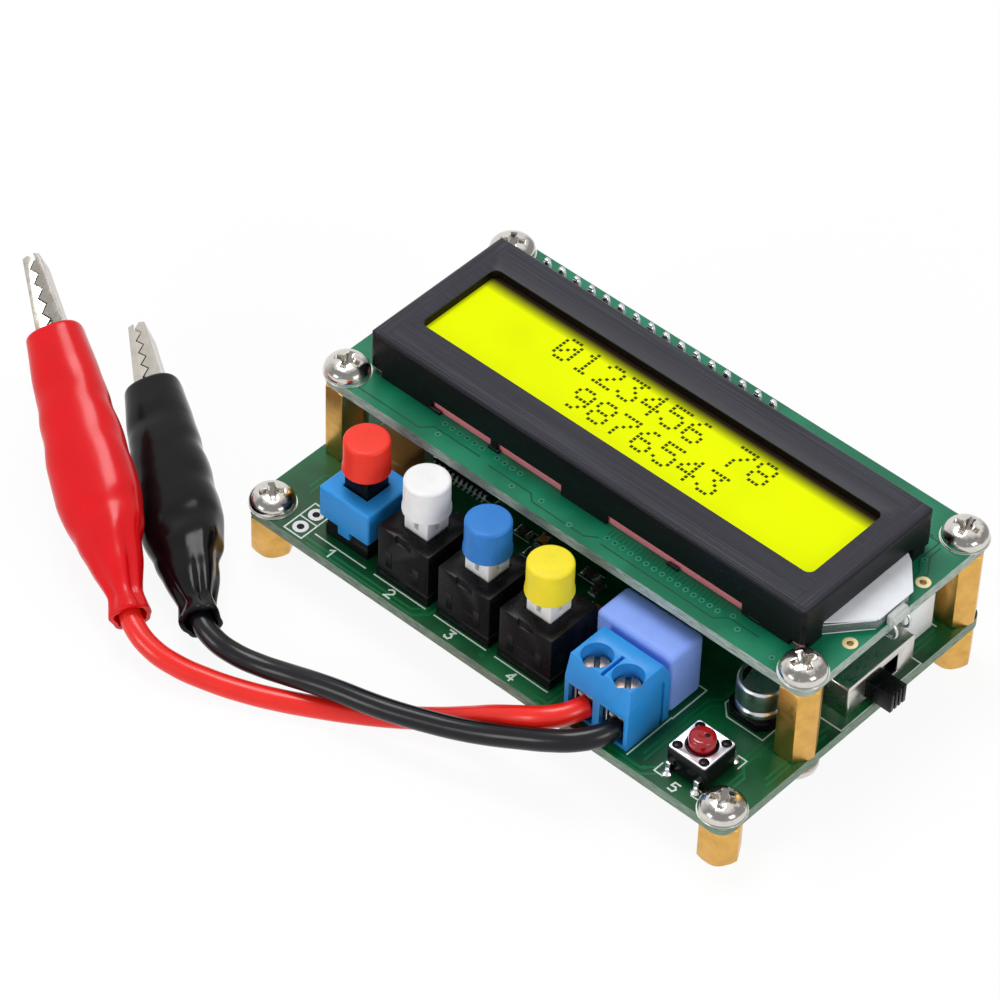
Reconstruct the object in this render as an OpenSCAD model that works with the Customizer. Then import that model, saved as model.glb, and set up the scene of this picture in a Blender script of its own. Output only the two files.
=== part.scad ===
// Open-frame component tester: a character display on brass standoffs over a main board,
// four push switches, a function button, a slide switch and two clip leads.
// Origin: centre of the four feet on the table. +X along the display, +Y to the rear, +Z up.

/* [Boards] */
// Length of the main board along X
board_w = 80; // [78:0.5:90]
// Depth of the main board along Y
board_d = 50; // [48:0.5:60]
// Thickness of both boards
board_t = 1.6; // [1:0.1:2.4]
// Corner radius of the boards
board_r = 2; // [1:0.1:2.5]
// Distance of every mounting hole from the end of its board
hole_inset = 2.5; // [2.4:0.05:3.2]
// Distance of the foot holes from the front and rear edges of the main board
foot_inset = 2.65; // [2.5:0.05:3.4]
// Gap between the caps of the push switches and the display board, seen from above
cap_clear = 3.65; // [2:0.05:6]
// Radius of the clearance holes in the boards
hole_r = 1.6; // [1.5:0.05:1.8]

/* [Standoffs and screws] */
// Height of the feet under the main board
foot_h = 6; // [5:0.5:12]
// Height of the standoffs between the boards
post_h = 12; // [11:0.5:16]
// Width across the flats of the hexagonal brass
hex_w = 5; // [4.6:0.1:5.6]
// Radius of the tapped bores
bore_r = 1.3; // [1.3:0.02:1.4]
// Radius of the screw shanks and studs
shank_r = 1.25; // [1.1:0.01:1.27]
// Length of the screw shanks that reach into the brass
shank_grip = 3.4; // [2:0.1:4]
// Length of the two front screws' shanks that reach into the feet
foot_grip = 2.2; // [1.5:0.1:2.6]
// Radius of the screw heads
head_r = 3.05; // [2.7:0.05:3.2]
// Height of the screw heads
head_h = 2.1; // [1.6:0.1:2.4]

/* [Display] */
// Distance of the bezel from the ends of its board
bezel_end = 4.4; // [4.2:0.05:5.5]
// Distance of the bezel from the front edge of its board
bezel_front = 4.55; // [4.4:0.05:6]
// Distance of the bezel from the rear edge of its board
bezel_rear = 6.85; // [5.6:0.05:8]
// Height of the bezel above its board
bezel_h = 7; // [6:0.1:9]
// Thickness of the bezel's sheet
bezel_t = 0.5; // [0.3:0.05:0.8]
// Width of the bezel's rim at the ends of the window
window_end = 3.8; // [2.5:0.1:5]
// Width of the bezel's rim in front of the window and behind it
window_rim = 5.3; // [4:0.1:6]
// Thickness of the glass cell
glass_t = 2.7; // [2:0.1:3]
// How far the light guide reaches past the bezel
guide_reach = 4; // [3:0.1:4.2]

/* [Push switches] */
// Side of the square switch bodies
switch_w = 8.5; // [8:0.1:9]
// Height of the switch bodies
switch_h = 8.4; // [7.5:0.1:9.5]
// Distance between the push switches
switch_pitch = 10.2; // [9.6:0.1:10.4]
// Distance of the zero switch's middle from the left end of the board
switch_end = 14.7; // [14:0.1:15]
// Distance of the switch fronts from the front edge of the board
switch_front = 2.8; // [2:0.1:3.4]
// Travel of the push switches
switch_travel = 2; // [1:0.1:2.4]
// Side of the square stems
stem_w = 3.9; // [3:0.1:4.2]
// Gap between a cap and its switch body at rest
cap_gap = 3; // [2.8:0.1:4]
// Radius of the round caps
cap_r = 3; // [2.7:0.05:3.3]
// Height of the round caps
cap_h = 5.05; // [4:0.05:6]

/* [Function button] */
// Side of the function button's body
func_w = 6; // [5.5:0.1:6.5]
// Height of the function button's plate top above the board
func_h = 3.9; // [3.4:0.1:4.5]
// Radius of the function button
func_r = 1.75; // [1.4:0.05:1.9]
// Height of the function button above its plate
func_cap_h = 1.7; // [1:0.1:3]
// Travel of the function button
func_travel = 0.3; // [0.2:0.05:0.5]

/* [Slide switch] */
// Length of the slide switch shell
slide_w = 12.9; // [12:0.1:13.2]
// Depth of the slide switch shell
slide_d = 6.6; // [6:0.1:7]
// Height of the slide switch shell
slide_h = 4.9; // [4.5:0.1:5.5]
// Thickness of the shell's sheet
slide_t = 0.3; // [0.2:0.05:0.4]
// Width of the knob along its travel
knob_w = 3; // [2.5:0.1:3.4]
// How far the knob stands out of the shell
knob_reach = 3.9; // [3:0.1:5]
// Travel of the slide switch
slide_travel = 3; // [2:0.1:3.4]

/* [Terminal] */
// Distance between the two poles
pole_pitch = 5; // [5:0.02:5.2]
// Depth of the terminal body
terminal_d = 7.8; // [7.6:0.1:8.6]
// Height of the terminal body
terminal_h = 9.4; // [9.3:0.1:10.4]
// Radius of the screw wells
well_r = 2.05; // [1.95:0.05:2.15]
// Travel of the clamping cages
cage_travel = 1; // [0.6:0.1:1]

/* [Capacitors] */
// Length of the film capacitor
film_w = 12.4; // [11:0.1:13]
// Depth of the film capacitor
film_d = 6; // [5:0.1:6.4]
// Height of the film capacitor
film_h = 9.8; // [8:0.1:10.4]
// Radius of the round can
can_r = 3.15; // [2.8:0.05:3.3]
// Height of the round can above its base
can_h = 4.6; // [4:0.1:6.5]

/* [Leads and clips] */
// Radius of the leads
lead_r = 1.45; // [1.3:0.05:1.5]
// Length of a clip from the boot's tail to the jaw tips
clip_l = 55.5; // [54:0.5:60]
// Length of a boot
boot_l = 43.5; // [42:0.5:45]
// Thickness of a boot's wall
boot_t = 0.65; // [0.5:0.05:0.7]
// Distance of the hinge pin from the boot's tail
pin_s = 34; // [33:0.5:35]
// Radius of the hinge pins
pin_r = 0.7; // [0.6:0.05:0.8]
// Thickness of the jaws' sheet
jaw_t = 0.4; // [0.3:0.05:0.5]
// Width of the jaws at the tips
jaw_w = 4.2; // [4:0.1:4.3]
// Distance between two teeth
tooth_pitch = 2.4; // [2:0.1:3]
// Depth of the teeth
tooth_d = 0.9; // [0.6:0.05:1.1]

/* [Hidden] */
$fn = 48;

e = 0.01;                // overlap that keeps a cut clean
seat = 0.05;             // fitting gap between pieces of one assembly
run = 0.15;              // running gap between flat sliding faces

// Boards and the heights that follow from them
board_z = foot_h;
top_z = board_z + board_t;
display_z = top_z + post_h;
face_z = display_z + board_t;
hole_x = board_w / 2 - hole_inset;
foot_y = board_d / 2 - foot_inset;
switch_y = -board_d / 2 + switch_front + switch_w / 2;
display_w = board_w;
display_rear = foot_y + hole_inset;
display_front = switch_y + cap_r + 0.15 + cap_clear;
display_d = display_rear - display_front;
display_y = (display_rear + display_front) / 2;
post_y = display_front + hole_inset;

// Display
bezel_w = display_w - 2 * bezel_end;
bezel_d = display_d - bezel_front - bezel_rear;
bezel_y = display_front + bezel_front + bezel_d / 2;
window_w = bezel_w - 2 * window_end;
window_d = bezel_d - 2 * window_rim;
bezel_top = face_z + bezel_h;
bezel_edge = 0.8;        // rounding of the bezel's upper edges
window_r = 1;
glass_z = bezel_top - bezel_t - glass_t;
glass_w = bezel_w - 2 * bezel_t - 1;
glass_d = bezel_d - 2 * bezel_t - 0.8;
strip_d = 1.7;           // depth of a contact strip
strip_w = bezel_w - 5.2;
foot_gap = 1.7;          // height of the openings under the bezel's long walls
guide_z = 1.6;           // thickness of the light guide past the bezel
guide_half = bezel_d / 2 - 4;    // half width of the light guide's tongue at its root
film_t = 0.25;           // thickness of the reflector
lamp_half = 1.6;         // half length of the lamp
plated_x = display_w / 2 - 1.3;
drop_r = 5.5;            // driver chips under their drops of resin
drop_h = 1.5;

// Pin header
pin_pitch = 2.54;
pin_count = 16;
header_x = -hole_x + 5.5;
header_y = foot_y + 0.6;
pin_up = 1.8;
tap_r = shank_r + 0.03;
header_socket_h = 8.5;
pin_w = 0.64;
joint_r = 0.85;          // foot of a solder joint

// Push switches
switch_x = -board_w / 2 + switch_end;
switch_top = top_z + switch_h;
stem_bottom = 3;         // height of the stems' lower end above the board, at rest
cap_hold = 2.6;          // depth of the cap's socket on the stem
cover_t = 0.7;           // wall of the coloured cover over the zero switch
cover_h = 5;             // height of its skirt
cover_tab_w = 2;         // latch below the skirt's front
cover_tab_h = 1.3;

// Function button
func_x = board_w / 2 - 8.9;
func_y = -board_d / 2 + 6.1;

// Slide switch
slide_x = board_w / 2 - 1.05;    // X of its outer face
slide_y = foot_y - 16.6;
knob_h = 2.9;
knob_z = top_z + 2.5;
knob_rest = -slide_travel / 2;   // the knob rests at the front end

// Terminal
terminal_w = 2 * pole_pitch + 0.2;
terminal_x = board_w / 2 - 22;
terminal_front = -board_d / 2 + 1.6;
terminal_y = terminal_front + terminal_d / 2;
poles = [terminal_x - pole_pitch / 2, terminal_x + pole_pitch / 2];
wire_z = top_z + 2.4;    // axis of the wires in the terminal
wire_r = 0.55;           // stripped conductor
bar_z = wire_z + wire_r + seat;
bar_t = 0.6;
cage_w = 3.9;
cage_d = 3.8;
cage_t = 0.5;
cage_y = terminal_front + 0.9 + cage_d / 2;
cage_floor = wire_z - wire_r - seat;     // top face of the cage's floor, clamped
cage_head = bar_z + bar_t + cage_travel + run;
cage_head_t = 0.9;
lip_z = cage_head + cage_head_t + run;
lip_t = 0.6;
screw_r = 1.25;

// Capacitors
film_x = terminal_x - 1.2;
film_y = terminal_front + terminal_d + 0.25 + film_d / 2;
can_x = board_w / 2 - 9.7;
can_y = func_y + 0.66 * (slide_y - slide_w / 2 - func_y);
can_base_w = 6.6;
can_base_h = 1.3;

// Other parts of the main board
block_w = 7.2;
block_d = 4.9;
block_h = 4.4;
block_x = -board_w / 2 + 9.2;
block_y = post_y + 1.25;
chip_w = 10;             // square flat pack, its legs and their pitch
chip_h = 1.2;
leg_count = 11;
leg_pitch = 0.8;
leg_reach = 1;
chip_x = -board_w / 2 + 17.7;
chip_y = post_y + 10.45;
socket_w = 5.8;
socket_d = 6;
socket_h = 7;
socket_x = board_w / 2 - 6.1;
socket_y = foot_y - 6.75;

// The leads and clips keep their place at the terminal
lead_shift = [terminal_x - 18, terminal_front + 23.4, 0];

// Clips: the place of the tail's middle, and the direction of the tips
red_tail = [-38, -47.2, 5];
red_turn = 148.2;
red_tilt = 12.3;
black_tail = [-30.7, -42.1, 5.6];
black_turn = 143;
black_tilt = -2.4;
clip_roll = -20;         // turn of both clips about their own length

// Boot: distance from the tail, half width and half height
boot_stations = [
    [0, 2.75, 2.7], [3, 2.4, 2.3], [8, 3.6, 3.1], [13, 4.9, 3.8], [18, 5.5, 4],
    [24, 5.45, 4], [30, 5, 3.8], [36, 4.5, 3.5], [boot_l, 3.8, 3.2]
];

// Leads: every bend of the real leads, from the terminal to the clip
red_route = [
    [16, -22.8, 10], [15.2, -25.3, 10], [13.3, -27.4, 9.6], [10.4, -28.7, 8.5],
    [7, -29.4, 6.6], [3.6, -30.3, 4.5], [0, -31.8, 2.8], [-4, -34.1, 1.8],
    [-8.4, -37, 1.5], [-12.8, -39.8, 1.5], [-17.4, -42.4, 1.5], [-21.8, -44.6, 1.7],
    [-25.8, -46.3, 2.1], [-29.4, -47.6, 2.7], [-33, -48.3, 3.6], [-36.6, -47.8, 4.6],
    [-39.8, -46.1, 5.5], [-43.6, -43.7, 6.4], [-47.6, -41.2, 7.5]
];
black_route = [
    [21, -22.8, 10], [20.4, -25.3, 10], [18.6, -27.7, 9.7], [15.8, -29.5, 9],
    [12.4, -30.9, 8], [8.8, -32.3, 7], [5, -33.8, 6.3], [1.2, -35.2, 5.9],
    [-2.6, -36.5, 5.6], [-6.4, -37.6, 5.4], [-10.2, -38.4, 5.1], [-14, -39.2, 4.6],
    [-17.8, -40, 3.9], [-21.4, -41, 3.6], [-24.8, -42, 3.9], [-28, -42.5, 4.7],
    [-31, -41.8, 5.4], [-34.2, -39.5, 5.5], [-37, -37.4, 5.3], [-40, -35.1, 5.1]
];

// ---------------------------------------------------------------- shared shapes

// Rectangle with round corners, centred
module round_rect(w, d, r) {
    square([w - 2 * r, d], center = true);
    square([w, d - 2 * r], center = true);
    for (x = [-1, 1], y = [-1, 1]) translate([x * (w / 2 - r), y * (d / 2 - r)]) circle(r);
}

// Rectangle that stands on the X axis, with its two upper corners round
module arch(w, h, r) {
    translate([-w / 2, 0]) square([w, h - r]);
    translate([-w / 2 + r, 0]) square([w - 2 * r, h]);
    for (x = [-1, 1]) translate([x * (w / 2 - r), h - r]) circle(r);
}

// Box that stands at z = 0, with every upright and upper edge round
module soft_box(w, d, h, r) {
    intersection() {
        linear_extrude(h) round_rect(w, d, r);
        rotate([90, 0, 0]) translate([0, 0, -d / 2]) linear_extrude(d) arch(w, h, r);
        rotate([90, 0, 90]) translate([0, 0, -w / 2]) linear_extrude(w) arch(d, h, r);
    }
}

// Box centred in X and Y that stands at z = 0
module block(w, d, h) { translate([-w / 2, -d / 2, 0]) cube([w, d, h]); }

// Hexagonal brass with turned-off corners
module hex_bar(h) {
    corner = hex_w / sqrt(3);
    bevel = 0.35;
    intersection() {
        cylinder(r = corner, h = h, $fn = 6);
        rotate_extrude() polygon([
            [0, 0], [corner - bevel, 0], [corner, bevel], [corner, h - bevel],
            [corner - bevel, h], [0, h]
        ]);
    }
}

// Pan head screw, its head standing on z = 0 and its shank below
module pan_screw(grip) {
    difference() {
        union() {
            rotate_extrude() intersection() {
                translate([0, head_h - 3.6]) circle(3.6);
                square([head_r, head_h]);
            }
            cylinder(r = head_r, h = 0.5);
            translate([0, 0, -grip]) cylinder(r = shank_r, h = grip + e);
        }
        for (a = [45, 135]) rotate(a) translate([0, 0, head_h - 1.3]) block(3.4, 0.85, 2);
    }
}

// A coil spring of round wire, as a swept tube
function ring(c, t, r, n) =
    let (side = norm(cross([0, 0, 1], t)) < 0.001 ? [1, 0, 0] : cross([0, 0, 1], t))
    let (u = side / norm(side), v = cross(t, u))
    [for (i = [0 : n - 1]) c + r * (cos(360 * i / n) * u + sin(360 * i / n) * v)];

function tangent(p, i) =
    let (a = p[max(i - 1, 0)], b = p[min(i + 1, len(p) - 1)]) (b - a) / norm(b - a);

// Tube along a list of points
module tube(p, r, n) {
    points = [for (i = [0 : len(p) - 1]) each ring(p[i], tangent(p, i), r, n)];
    last = (len(p) - 1) * n;
    faces = concat(
        [[for (i = [0 : n - 1]) i]],
        [for (k = [0 : len(p) - 2], i = [0 : n - 1])
            [k * n + i, (k + 1) * n + i, (k + 1) * n + (i + 1) % n, k * n + (i + 1) % n]],
        [[for (i = [n - 1 : -1 : 0]) last + i]]
    );
    polyhedron(points, faces, convexity = 6);
}

// ---------------------------------------------------------------- boards and brass

module main_board() color("darkgreen") difference() {
    translate([0, 0, board_z]) linear_extrude(board_t) round_rect(board_w, board_d, board_r);
    for (x = [-1, 1], y = [-foot_y, foot_y, post_y])
        translate([x * hole_x, y, board_z - 1]) cylinder(r = hole_r, h = board_t + 2);
}

// The rear pair carries studs that pass through the board into the posts above
module feet() color("goldenrod") for (x = [-1, 1]) {
    translate([x * hole_x, -foot_y, 0]) difference() {
        hex_bar(foot_h);
        translate([0, 0, -1]) cylinder(r = bore_r, h = foot_h - foot_grip + 0.3);
        translate([0, 0, foot_h - foot_grip - 0.3]) cylinder(r = tap_r, h = foot_grip + 1);
    }
    translate([x * hole_x, foot_y, 0]) difference() {
        union() {
            hex_bar(foot_h);
            cylinder(r = shank_r, h = foot_h + board_t + shank_grip);
        }
        translate([0, 0, -1]) cylinder(r = bore_r, h = foot_h - 0.5);
    }
}

module posts() color("goldenrod") for (x = [-1, 1], y = [post_y, foot_y])
    translate([x * hole_x, y, top_z]) difference() {
        hex_bar(post_h);
        translate([0, 0, -1]) cylinder(r = tap_r, h = post_h + 2);
    }

module screws() color("silver") for (x = [-1, 1]) {
    for (y = [post_y, foot_y]) translate([x * hole_x, y, face_z]) pan_screw(board_t + shank_grip);
    translate([x * hole_x, -foot_y, top_z]) pan_screw(board_t + foot_grip);
    translate([x * hole_x, post_y, board_z]) mirror([0, 0, 1]) pan_screw(board_t + shank_grip);
}

// ---------------------------------------------------------------- display

module display_board() color("seagreen") difference() {
    translate([0, display_y, display_z]) linear_extrude(board_t)
        round_rect(display_w, display_d, board_r);
    for (x = [-1, 1], y = [post_y, foot_y])
        translate([x * hole_x, y, display_z - 1]) cylinder(r = hole_r, h = board_t + 2);
    for (y = [-7, 7]) translate([plated_x, bezel_y + y, display_z - 1])
        cylinder(r = 0.5, h = board_t + 2);
}

// X ranges of the openings under the bezel's long walls, as shares of its length
bezel_gaps = [[-0.35, -0.21], [-0.195, -0.045], [0.06, 0.365]];

module display_bezel() color("#33353a") difference() {
    translate([0, bezel_y, face_z]) soft_box(bezel_w, bezel_d, bezel_h, bezel_edge);
    translate([0, bezel_y, face_z - 1])
        block(bezel_w - 2 * bezel_t, bezel_d - 2 * bezel_t, bezel_h - bezel_t + 1);
    translate([0, bezel_y, bezel_top - 2]) linear_extrude(4) round_rect(window_w, window_d, window_r);
    for (g = bezel_gaps) translate([g[0] * bezel_w, bezel_y - bezel_d, face_z - 1])
        cube([(g[1] - g[0]) * bezel_w, 2 * bezel_d, foot_gap + 1]);
    for (x = [-1, 1], y = [-1, 1])
        translate([x * bezel_w / 2, bezel_y + y * bezel_d / 2, face_z - 1]) block(2.4, 2.4, 2);
    translate([bezel_w / 2 - 2, bezel_y - guide_half - 0.3, face_z - 1])
        cube([4, 2 * guide_half + 0.6, guide_z + 1.9]);
}

module display_glass() color("yellowgreen")
    translate([0, bezel_y, glass_z]) block(glass_w, glass_d, glass_t);

module contact_strips() color("lightpink") for (y = [-1, 1])
    translate([0, bezel_y + y * (bezel_d / 2 - bezel_t - seat - strip_d / 2), face_z])
        block(strip_w, strip_d, glass_z - face_z);

// Clear block under the glass, with a tapered tongue that runs out to the lamp
module light_guide() color("lightcyan") {
    inner_d = bezel_d - 2 * bezel_t - 2 * strip_d - 0.6;
    inner_x = bezel_w / 2 - bezel_t - 0.4;
    tip = bezel_w / 2 + guide_reach;
    translate([0, bezel_y, face_z]) {
        translate([-inner_x, -inner_d / 2, 0]) cube([2 * inner_x, inner_d, glass_z - face_z]);
        linear_extrude(guide_z) polygon([
            [inner_x - 1, -guide_half], [bezel_w / 2 - 0.6, -guide_half], [tip, -2 * lamp_half + 0.2],
            [tip, 2 * lamp_half - 0.2], [bezel_w / 2 - 0.6, guide_half], [inner_x - 1, guide_half]
        ]);
    }
}

// White film over the tongue, bent up a little towards the bezel
module light_reflector() color("white") {
    tip = bezel_w / 2 + guide_reach + 0.1;
    half = guide_half - 0.1;
    translate([0, bezel_y, face_z + guide_z]) linear_extrude(film_t) polygon([
        [bezel_w / 2 - 0.85, -half], [bezel_w / 2 - 0.2, -half], [tip, 0.4 - 2 * lamp_half],
        [tip, 2 * lamp_half + 0.4], [tip - 3.2, half - 1], [bezel_w / 2 - 0.85, half]
    ]);
}

// Side lamp at the board's edge, its two leads curled under the board
module backlight_lamp() color("gainsboro") {
    curl = board_t / 2 + 0.45;
    lead = 0.22;
    translate([bezel_w / 2 + guide_reach + 0.15, bezel_y, face_z + 0.02])
        translate([0, -lamp_half, 0]) cube([1.3, 2 * lamp_half, guide_z]);
    for (y = [-1, 1])
        translate([display_w / 2 + 0.1, bezel_y + y * (lamp_half - 0.3), display_z + board_t / 2])
        rotate([90, 0, 0]) {
            rotate(-90) rotate_extrude(angle = 180, $fn = 32) translate([curl, 0]) circle(lead, $fn = 16);
            translate([0, -curl, 0]) rotate([0, -90, 0]) cylinder(r = lead, h = 1.2, $fn = 16);
        }
}

// Two drops of black resin under the display board
module driver_chips() color("#18181a") for (x = [-0.2, 0.125])
    translate([x * display_w, display_y, display_z]) mirror([0, 0, 1]) rotate_extrude() polygon([
        [0, 0], [drop_r, 0], [0.95 * drop_r, 0.27 * drop_h], [0.8 * drop_r, 0.53 * drop_h],
        [0.56 * drop_r, 0.8 * drop_h], [0.27 * drop_r, 0.97 * drop_h], [0, drop_h]
    ]);

module header_pins() color("gold") for (i = [0 : pin_count - 1])
    translate([header_x + i * pin_pitch, header_y, display_z]) {
        translate([0, 0, -8.2]) block(pin_w, pin_w, 8.2);
        translate([0, 0, board_t]) cylinder(r = 0.6 * pin_w, h = pin_up, $fn = 16);
        translate([0, 0, board_t]) cylinder(r1 = joint_r, r2 = 0.75 * pin_w, h = pin_up - 0.5, $fn = 16);
    }

// The female strip on the main board and the plastic strip that spaces the pins
module header_socket() color("#202022") {
    length = pin_count * pin_pitch;
    first = header_x - pin_pitch / 2;
    difference() {
        translate([first, header_y - pin_pitch / 2, top_z]) cube([length, pin_pitch, header_socket_h]);
        for (i = [0 : pin_count - 1])
            translate([header_x + i * pin_pitch, header_y, display_z - 8.4])
                block(pin_w + 2 * run, pin_w + 2 * run, 20);
    }
    translate([first, header_y - pin_pitch / 2, display_z - 2.5]) difference() {
        cube([length, pin_pitch, 2.5]);
        for (i = [0 : pin_count - 1])
            translate([(i + 0.5) * pin_pitch, pin_pitch / 2, -1])
                block(pin_w + 2 * seat, pin_w + 2 * seat, 5);
    }
}

// ---------------------------------------------------------------- push switches

function switch_at(i) = [switch_x + i * switch_pitch, switch_y, 0];

// Moulded body with a square well for the stem and a parting step round its foot
module switch_body(w, h) difference() {
    union() {
        block(w, w, h);
        block(w + 0.3, w + 0.3, 1.6);
    }
    translate([0, 0, stem_bottom - switch_travel - run])
        block(stem_w + 2 * run, stem_w + 2 * run, h);
    for (y = [-1, 1]) translate([0, y * w / 2, h - 1.1]) block(2.6, 0.7, 2);
}

module zero_base() color("#1c1c1e") translate(switch_at(0) + [0, 0, top_z])
    switch_body(switch_w - 2 * cover_t - 2 * seat, switch_h - cover_t);

module capacitance_base() color("#2b2a2c") translate(switch_at(1) + [0, 0, top_z])
    switch_body(switch_w, switch_h);

module inductance_base() color("#2b2a2c") translate(switch_at(2) + [0, 0, top_z])
    switch_body(switch_w, switch_h);

module mode_base() color("#2b2a2c") translate(switch_at(3) + [0, 0, top_z])
    switch_body(switch_w, switch_h);

// Coloured cap over the zero switch: a skirt with one latch below its front
module zero_cover() color("dodgerblue") translate(switch_at(0) + [0, 0, top_z]) {
    skirt = cover_h;
    inner = switch_w - 2 * cover_t;
    difference() {
        translate([0, 0, switch_h - skirt]) soft_box(switch_w, switch_w, skirt, 0.4);
        translate([0, 0, switch_h - skirt - 1]) block(inner, inner, skirt + 1 - cover_t);
        translate([0, 0, switch_h - 2]) block(stem_w + 2 * run, stem_w + 2 * run, 4);
    }
    translate([-cover_tab_w / 2, -switch_w / 2, switch_h - skirt - cover_tab_h])
        cube([cover_tab_w, cover_t, cover_tab_h + e]);
}

// Square stem with a cross slot cut into its visible corners
module stem(i) translate(switch_at(i) + [0, 0, top_z + stem_bottom]) {
    top = switch_h - stem_bottom + cap_gap;
    block(stem_w, stem_w, top);
    translate([0, 0, top - e]) block(stem_w - 1, stem_w - 1, cap_hold - seat + e);
}

module slotted_stem(i) difference() {
    stem(i);
    translate(switch_at(i) + [0, 0, switch_top + 0.5]) {
        block(0.7, stem_w + 1, cap_gap + cap_hold);
        block(stem_w + 1, 0.7, cap_gap + cap_hold);
    }
}

module zero_stem() color("#161617") stem(0);
module capacitance_stem() color("white") slotted_stem(1);
module inductance_stem() color("white") slotted_stem(2);
module mode_stem() color("white") slotted_stem(3);

// Round cap, a little wider at its skirt, with a square socket for the stem
module cap(i) translate(switch_at(i) + [0, 0, switch_top + cap_gap]) difference() {
    rotate_extrude() {
        polygon([[0, 0], [cap_r + 0.15, 0], [cap_r, 0.9], [cap_r, cap_h - 0.35], [0, cap_h - 0.35]]);
        translate([0, cap_h - 0.36]) square([cap_r - 0.35, 0.36]);
        translate([cap_r - 0.35, cap_h - 0.35]) circle(0.35);
    }
    translate([0, 0, -1]) block(stem_w - 1 + 2 * seat, stem_w - 1 + 2 * seat, cap_hold + 1);
}

module zero_cap() color("tomato") cap(0);
module capacitance_cap() color("white") cap(1);
module inductance_cap() color("steelblue") cap(2);
module mode_cap() color("gold") cap(3);

// ---------------------------------------------------------------- function button

module func_base() color("#202024") translate([func_x, func_y, top_z]) difference() {
    union() {
        translate([0, 0, 0.3]) linear_extrude(func_h - 0.6) round_rect(func_w, func_w, 0.4);
        block(func_w - 1.4, func_w - 1.4, 0.4);
        for (x = [-1, 1], y = [-1, 1])
            translate([x * (func_w / 2 - 0.9), y * (func_w / 2 - 0.9), 0])
                cylinder(r = 0.55, h = func_h + 0.1);
    }
    translate([0, 0, func_h - 1.2]) cylinder(r = func_r + 0.35, h = 3);
}

module func_plate() color("lavender") translate([func_x, func_y, top_z + func_h - 0.3]) difference() {
    linear_extrude(0.3) round_rect(func_w - 0.2, func_w - 0.2, 0.3);
    translate([0, 0, -1]) cylinder(r = func_r + 0.35, h = 3);
    for (x = [-1, 1], y = [-1, 1])
        translate([x * (func_w / 2 - 0.9), y * (func_w / 2 - 0.9), -1]) cylinder(r = 0.6, h = 3);
}

// Flat legs that leave the body's sides and go down through the board, with their solder
module func_legs() color("silver") for (x = [-1, 1], y = [-1, 1])
    translate([func_x + x * 2.25, func_y, top_z]) mirror([0, y > 0 ? 0 : 1, 0]) {
        translate([-0.35, func_w / 2, 1.5]) cube([0.7, 0.6, 0.2]);
        translate([-0.35, func_w / 2 + 0.4, 0]) cube([0.7, 0.2, 1.6]);
        translate([0, func_w / 2 + 0.5, 0]) rotate_extrude($fn = 16)
            polygon([[0, 0], [0.75, 0], [0.45, 0.3], [0.3, 0.7], [0, 0.7]]);
    }

module func_button() color("firebrick") translate([func_x, func_y, top_z + func_h]) rotate_extrude() {
    translate([0, -1.2 + func_travel + run]) square([func_r, func_cap_h + 1.2 - func_travel - run - 0.3]);
    square([func_r - 0.3, func_cap_h]);
    translate([func_r - 0.3, func_cap_h - 0.3]) circle(0.3);
}

// ---------------------------------------------------------------- slide switch

// Folded shell with a slot in its outer face; local Y runs along the travel
module slide_shell() color("silver") translate([slide_x, slide_y, top_z]) difference() {
    slot_w = slide_travel + knob_w + 2 * run;
    translate([-slide_d / 2, 0, 0]) soft_box(slide_d, slide_w, slide_h, 0.35);
    translate([-slide_d / 2, 0, -1])
        block(slide_d - 2 * slide_t, slide_w - 2 * slide_t, slide_h - slide_t + 1);
    translate([-1, -slot_w / 2, knob_z - top_z - knob_h / 2 - run]) cube([2, slot_w, knob_h + 2 * run]);
}

module slide_base() color("#2a2320") translate([slide_x - slide_d / 2, slide_y, top_z])
    block(slide_d - 2 * slide_t - 2 * seat, slide_w - 2 * slide_t - 2 * seat, 0.7);

module slide_knob() color("#151517") translate([slide_x, slide_y + knob_rest, knob_z - knob_h / 2]) {
    difference() {
        translate([-slide_d + slide_t + 1, -knob_w / 2, 0])
            cube([slide_d - slide_t - 1 + knob_reach, knob_w, knob_h]);
        for (y = [-1 : 1]) translate([knob_reach, y * knob_w / 4, -1]) block(0.5, 0.25, knob_h + 2);
    }
    carriage = knob_w + 2.4;
    translate([-slide_d + slide_t + 0.8, -carriage / 2, 0])
        cube([slide_d - 2 * slide_t - 0.8 - run, carriage, knob_h]);
}

// ---------------------------------------------------------------- terminal

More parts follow.
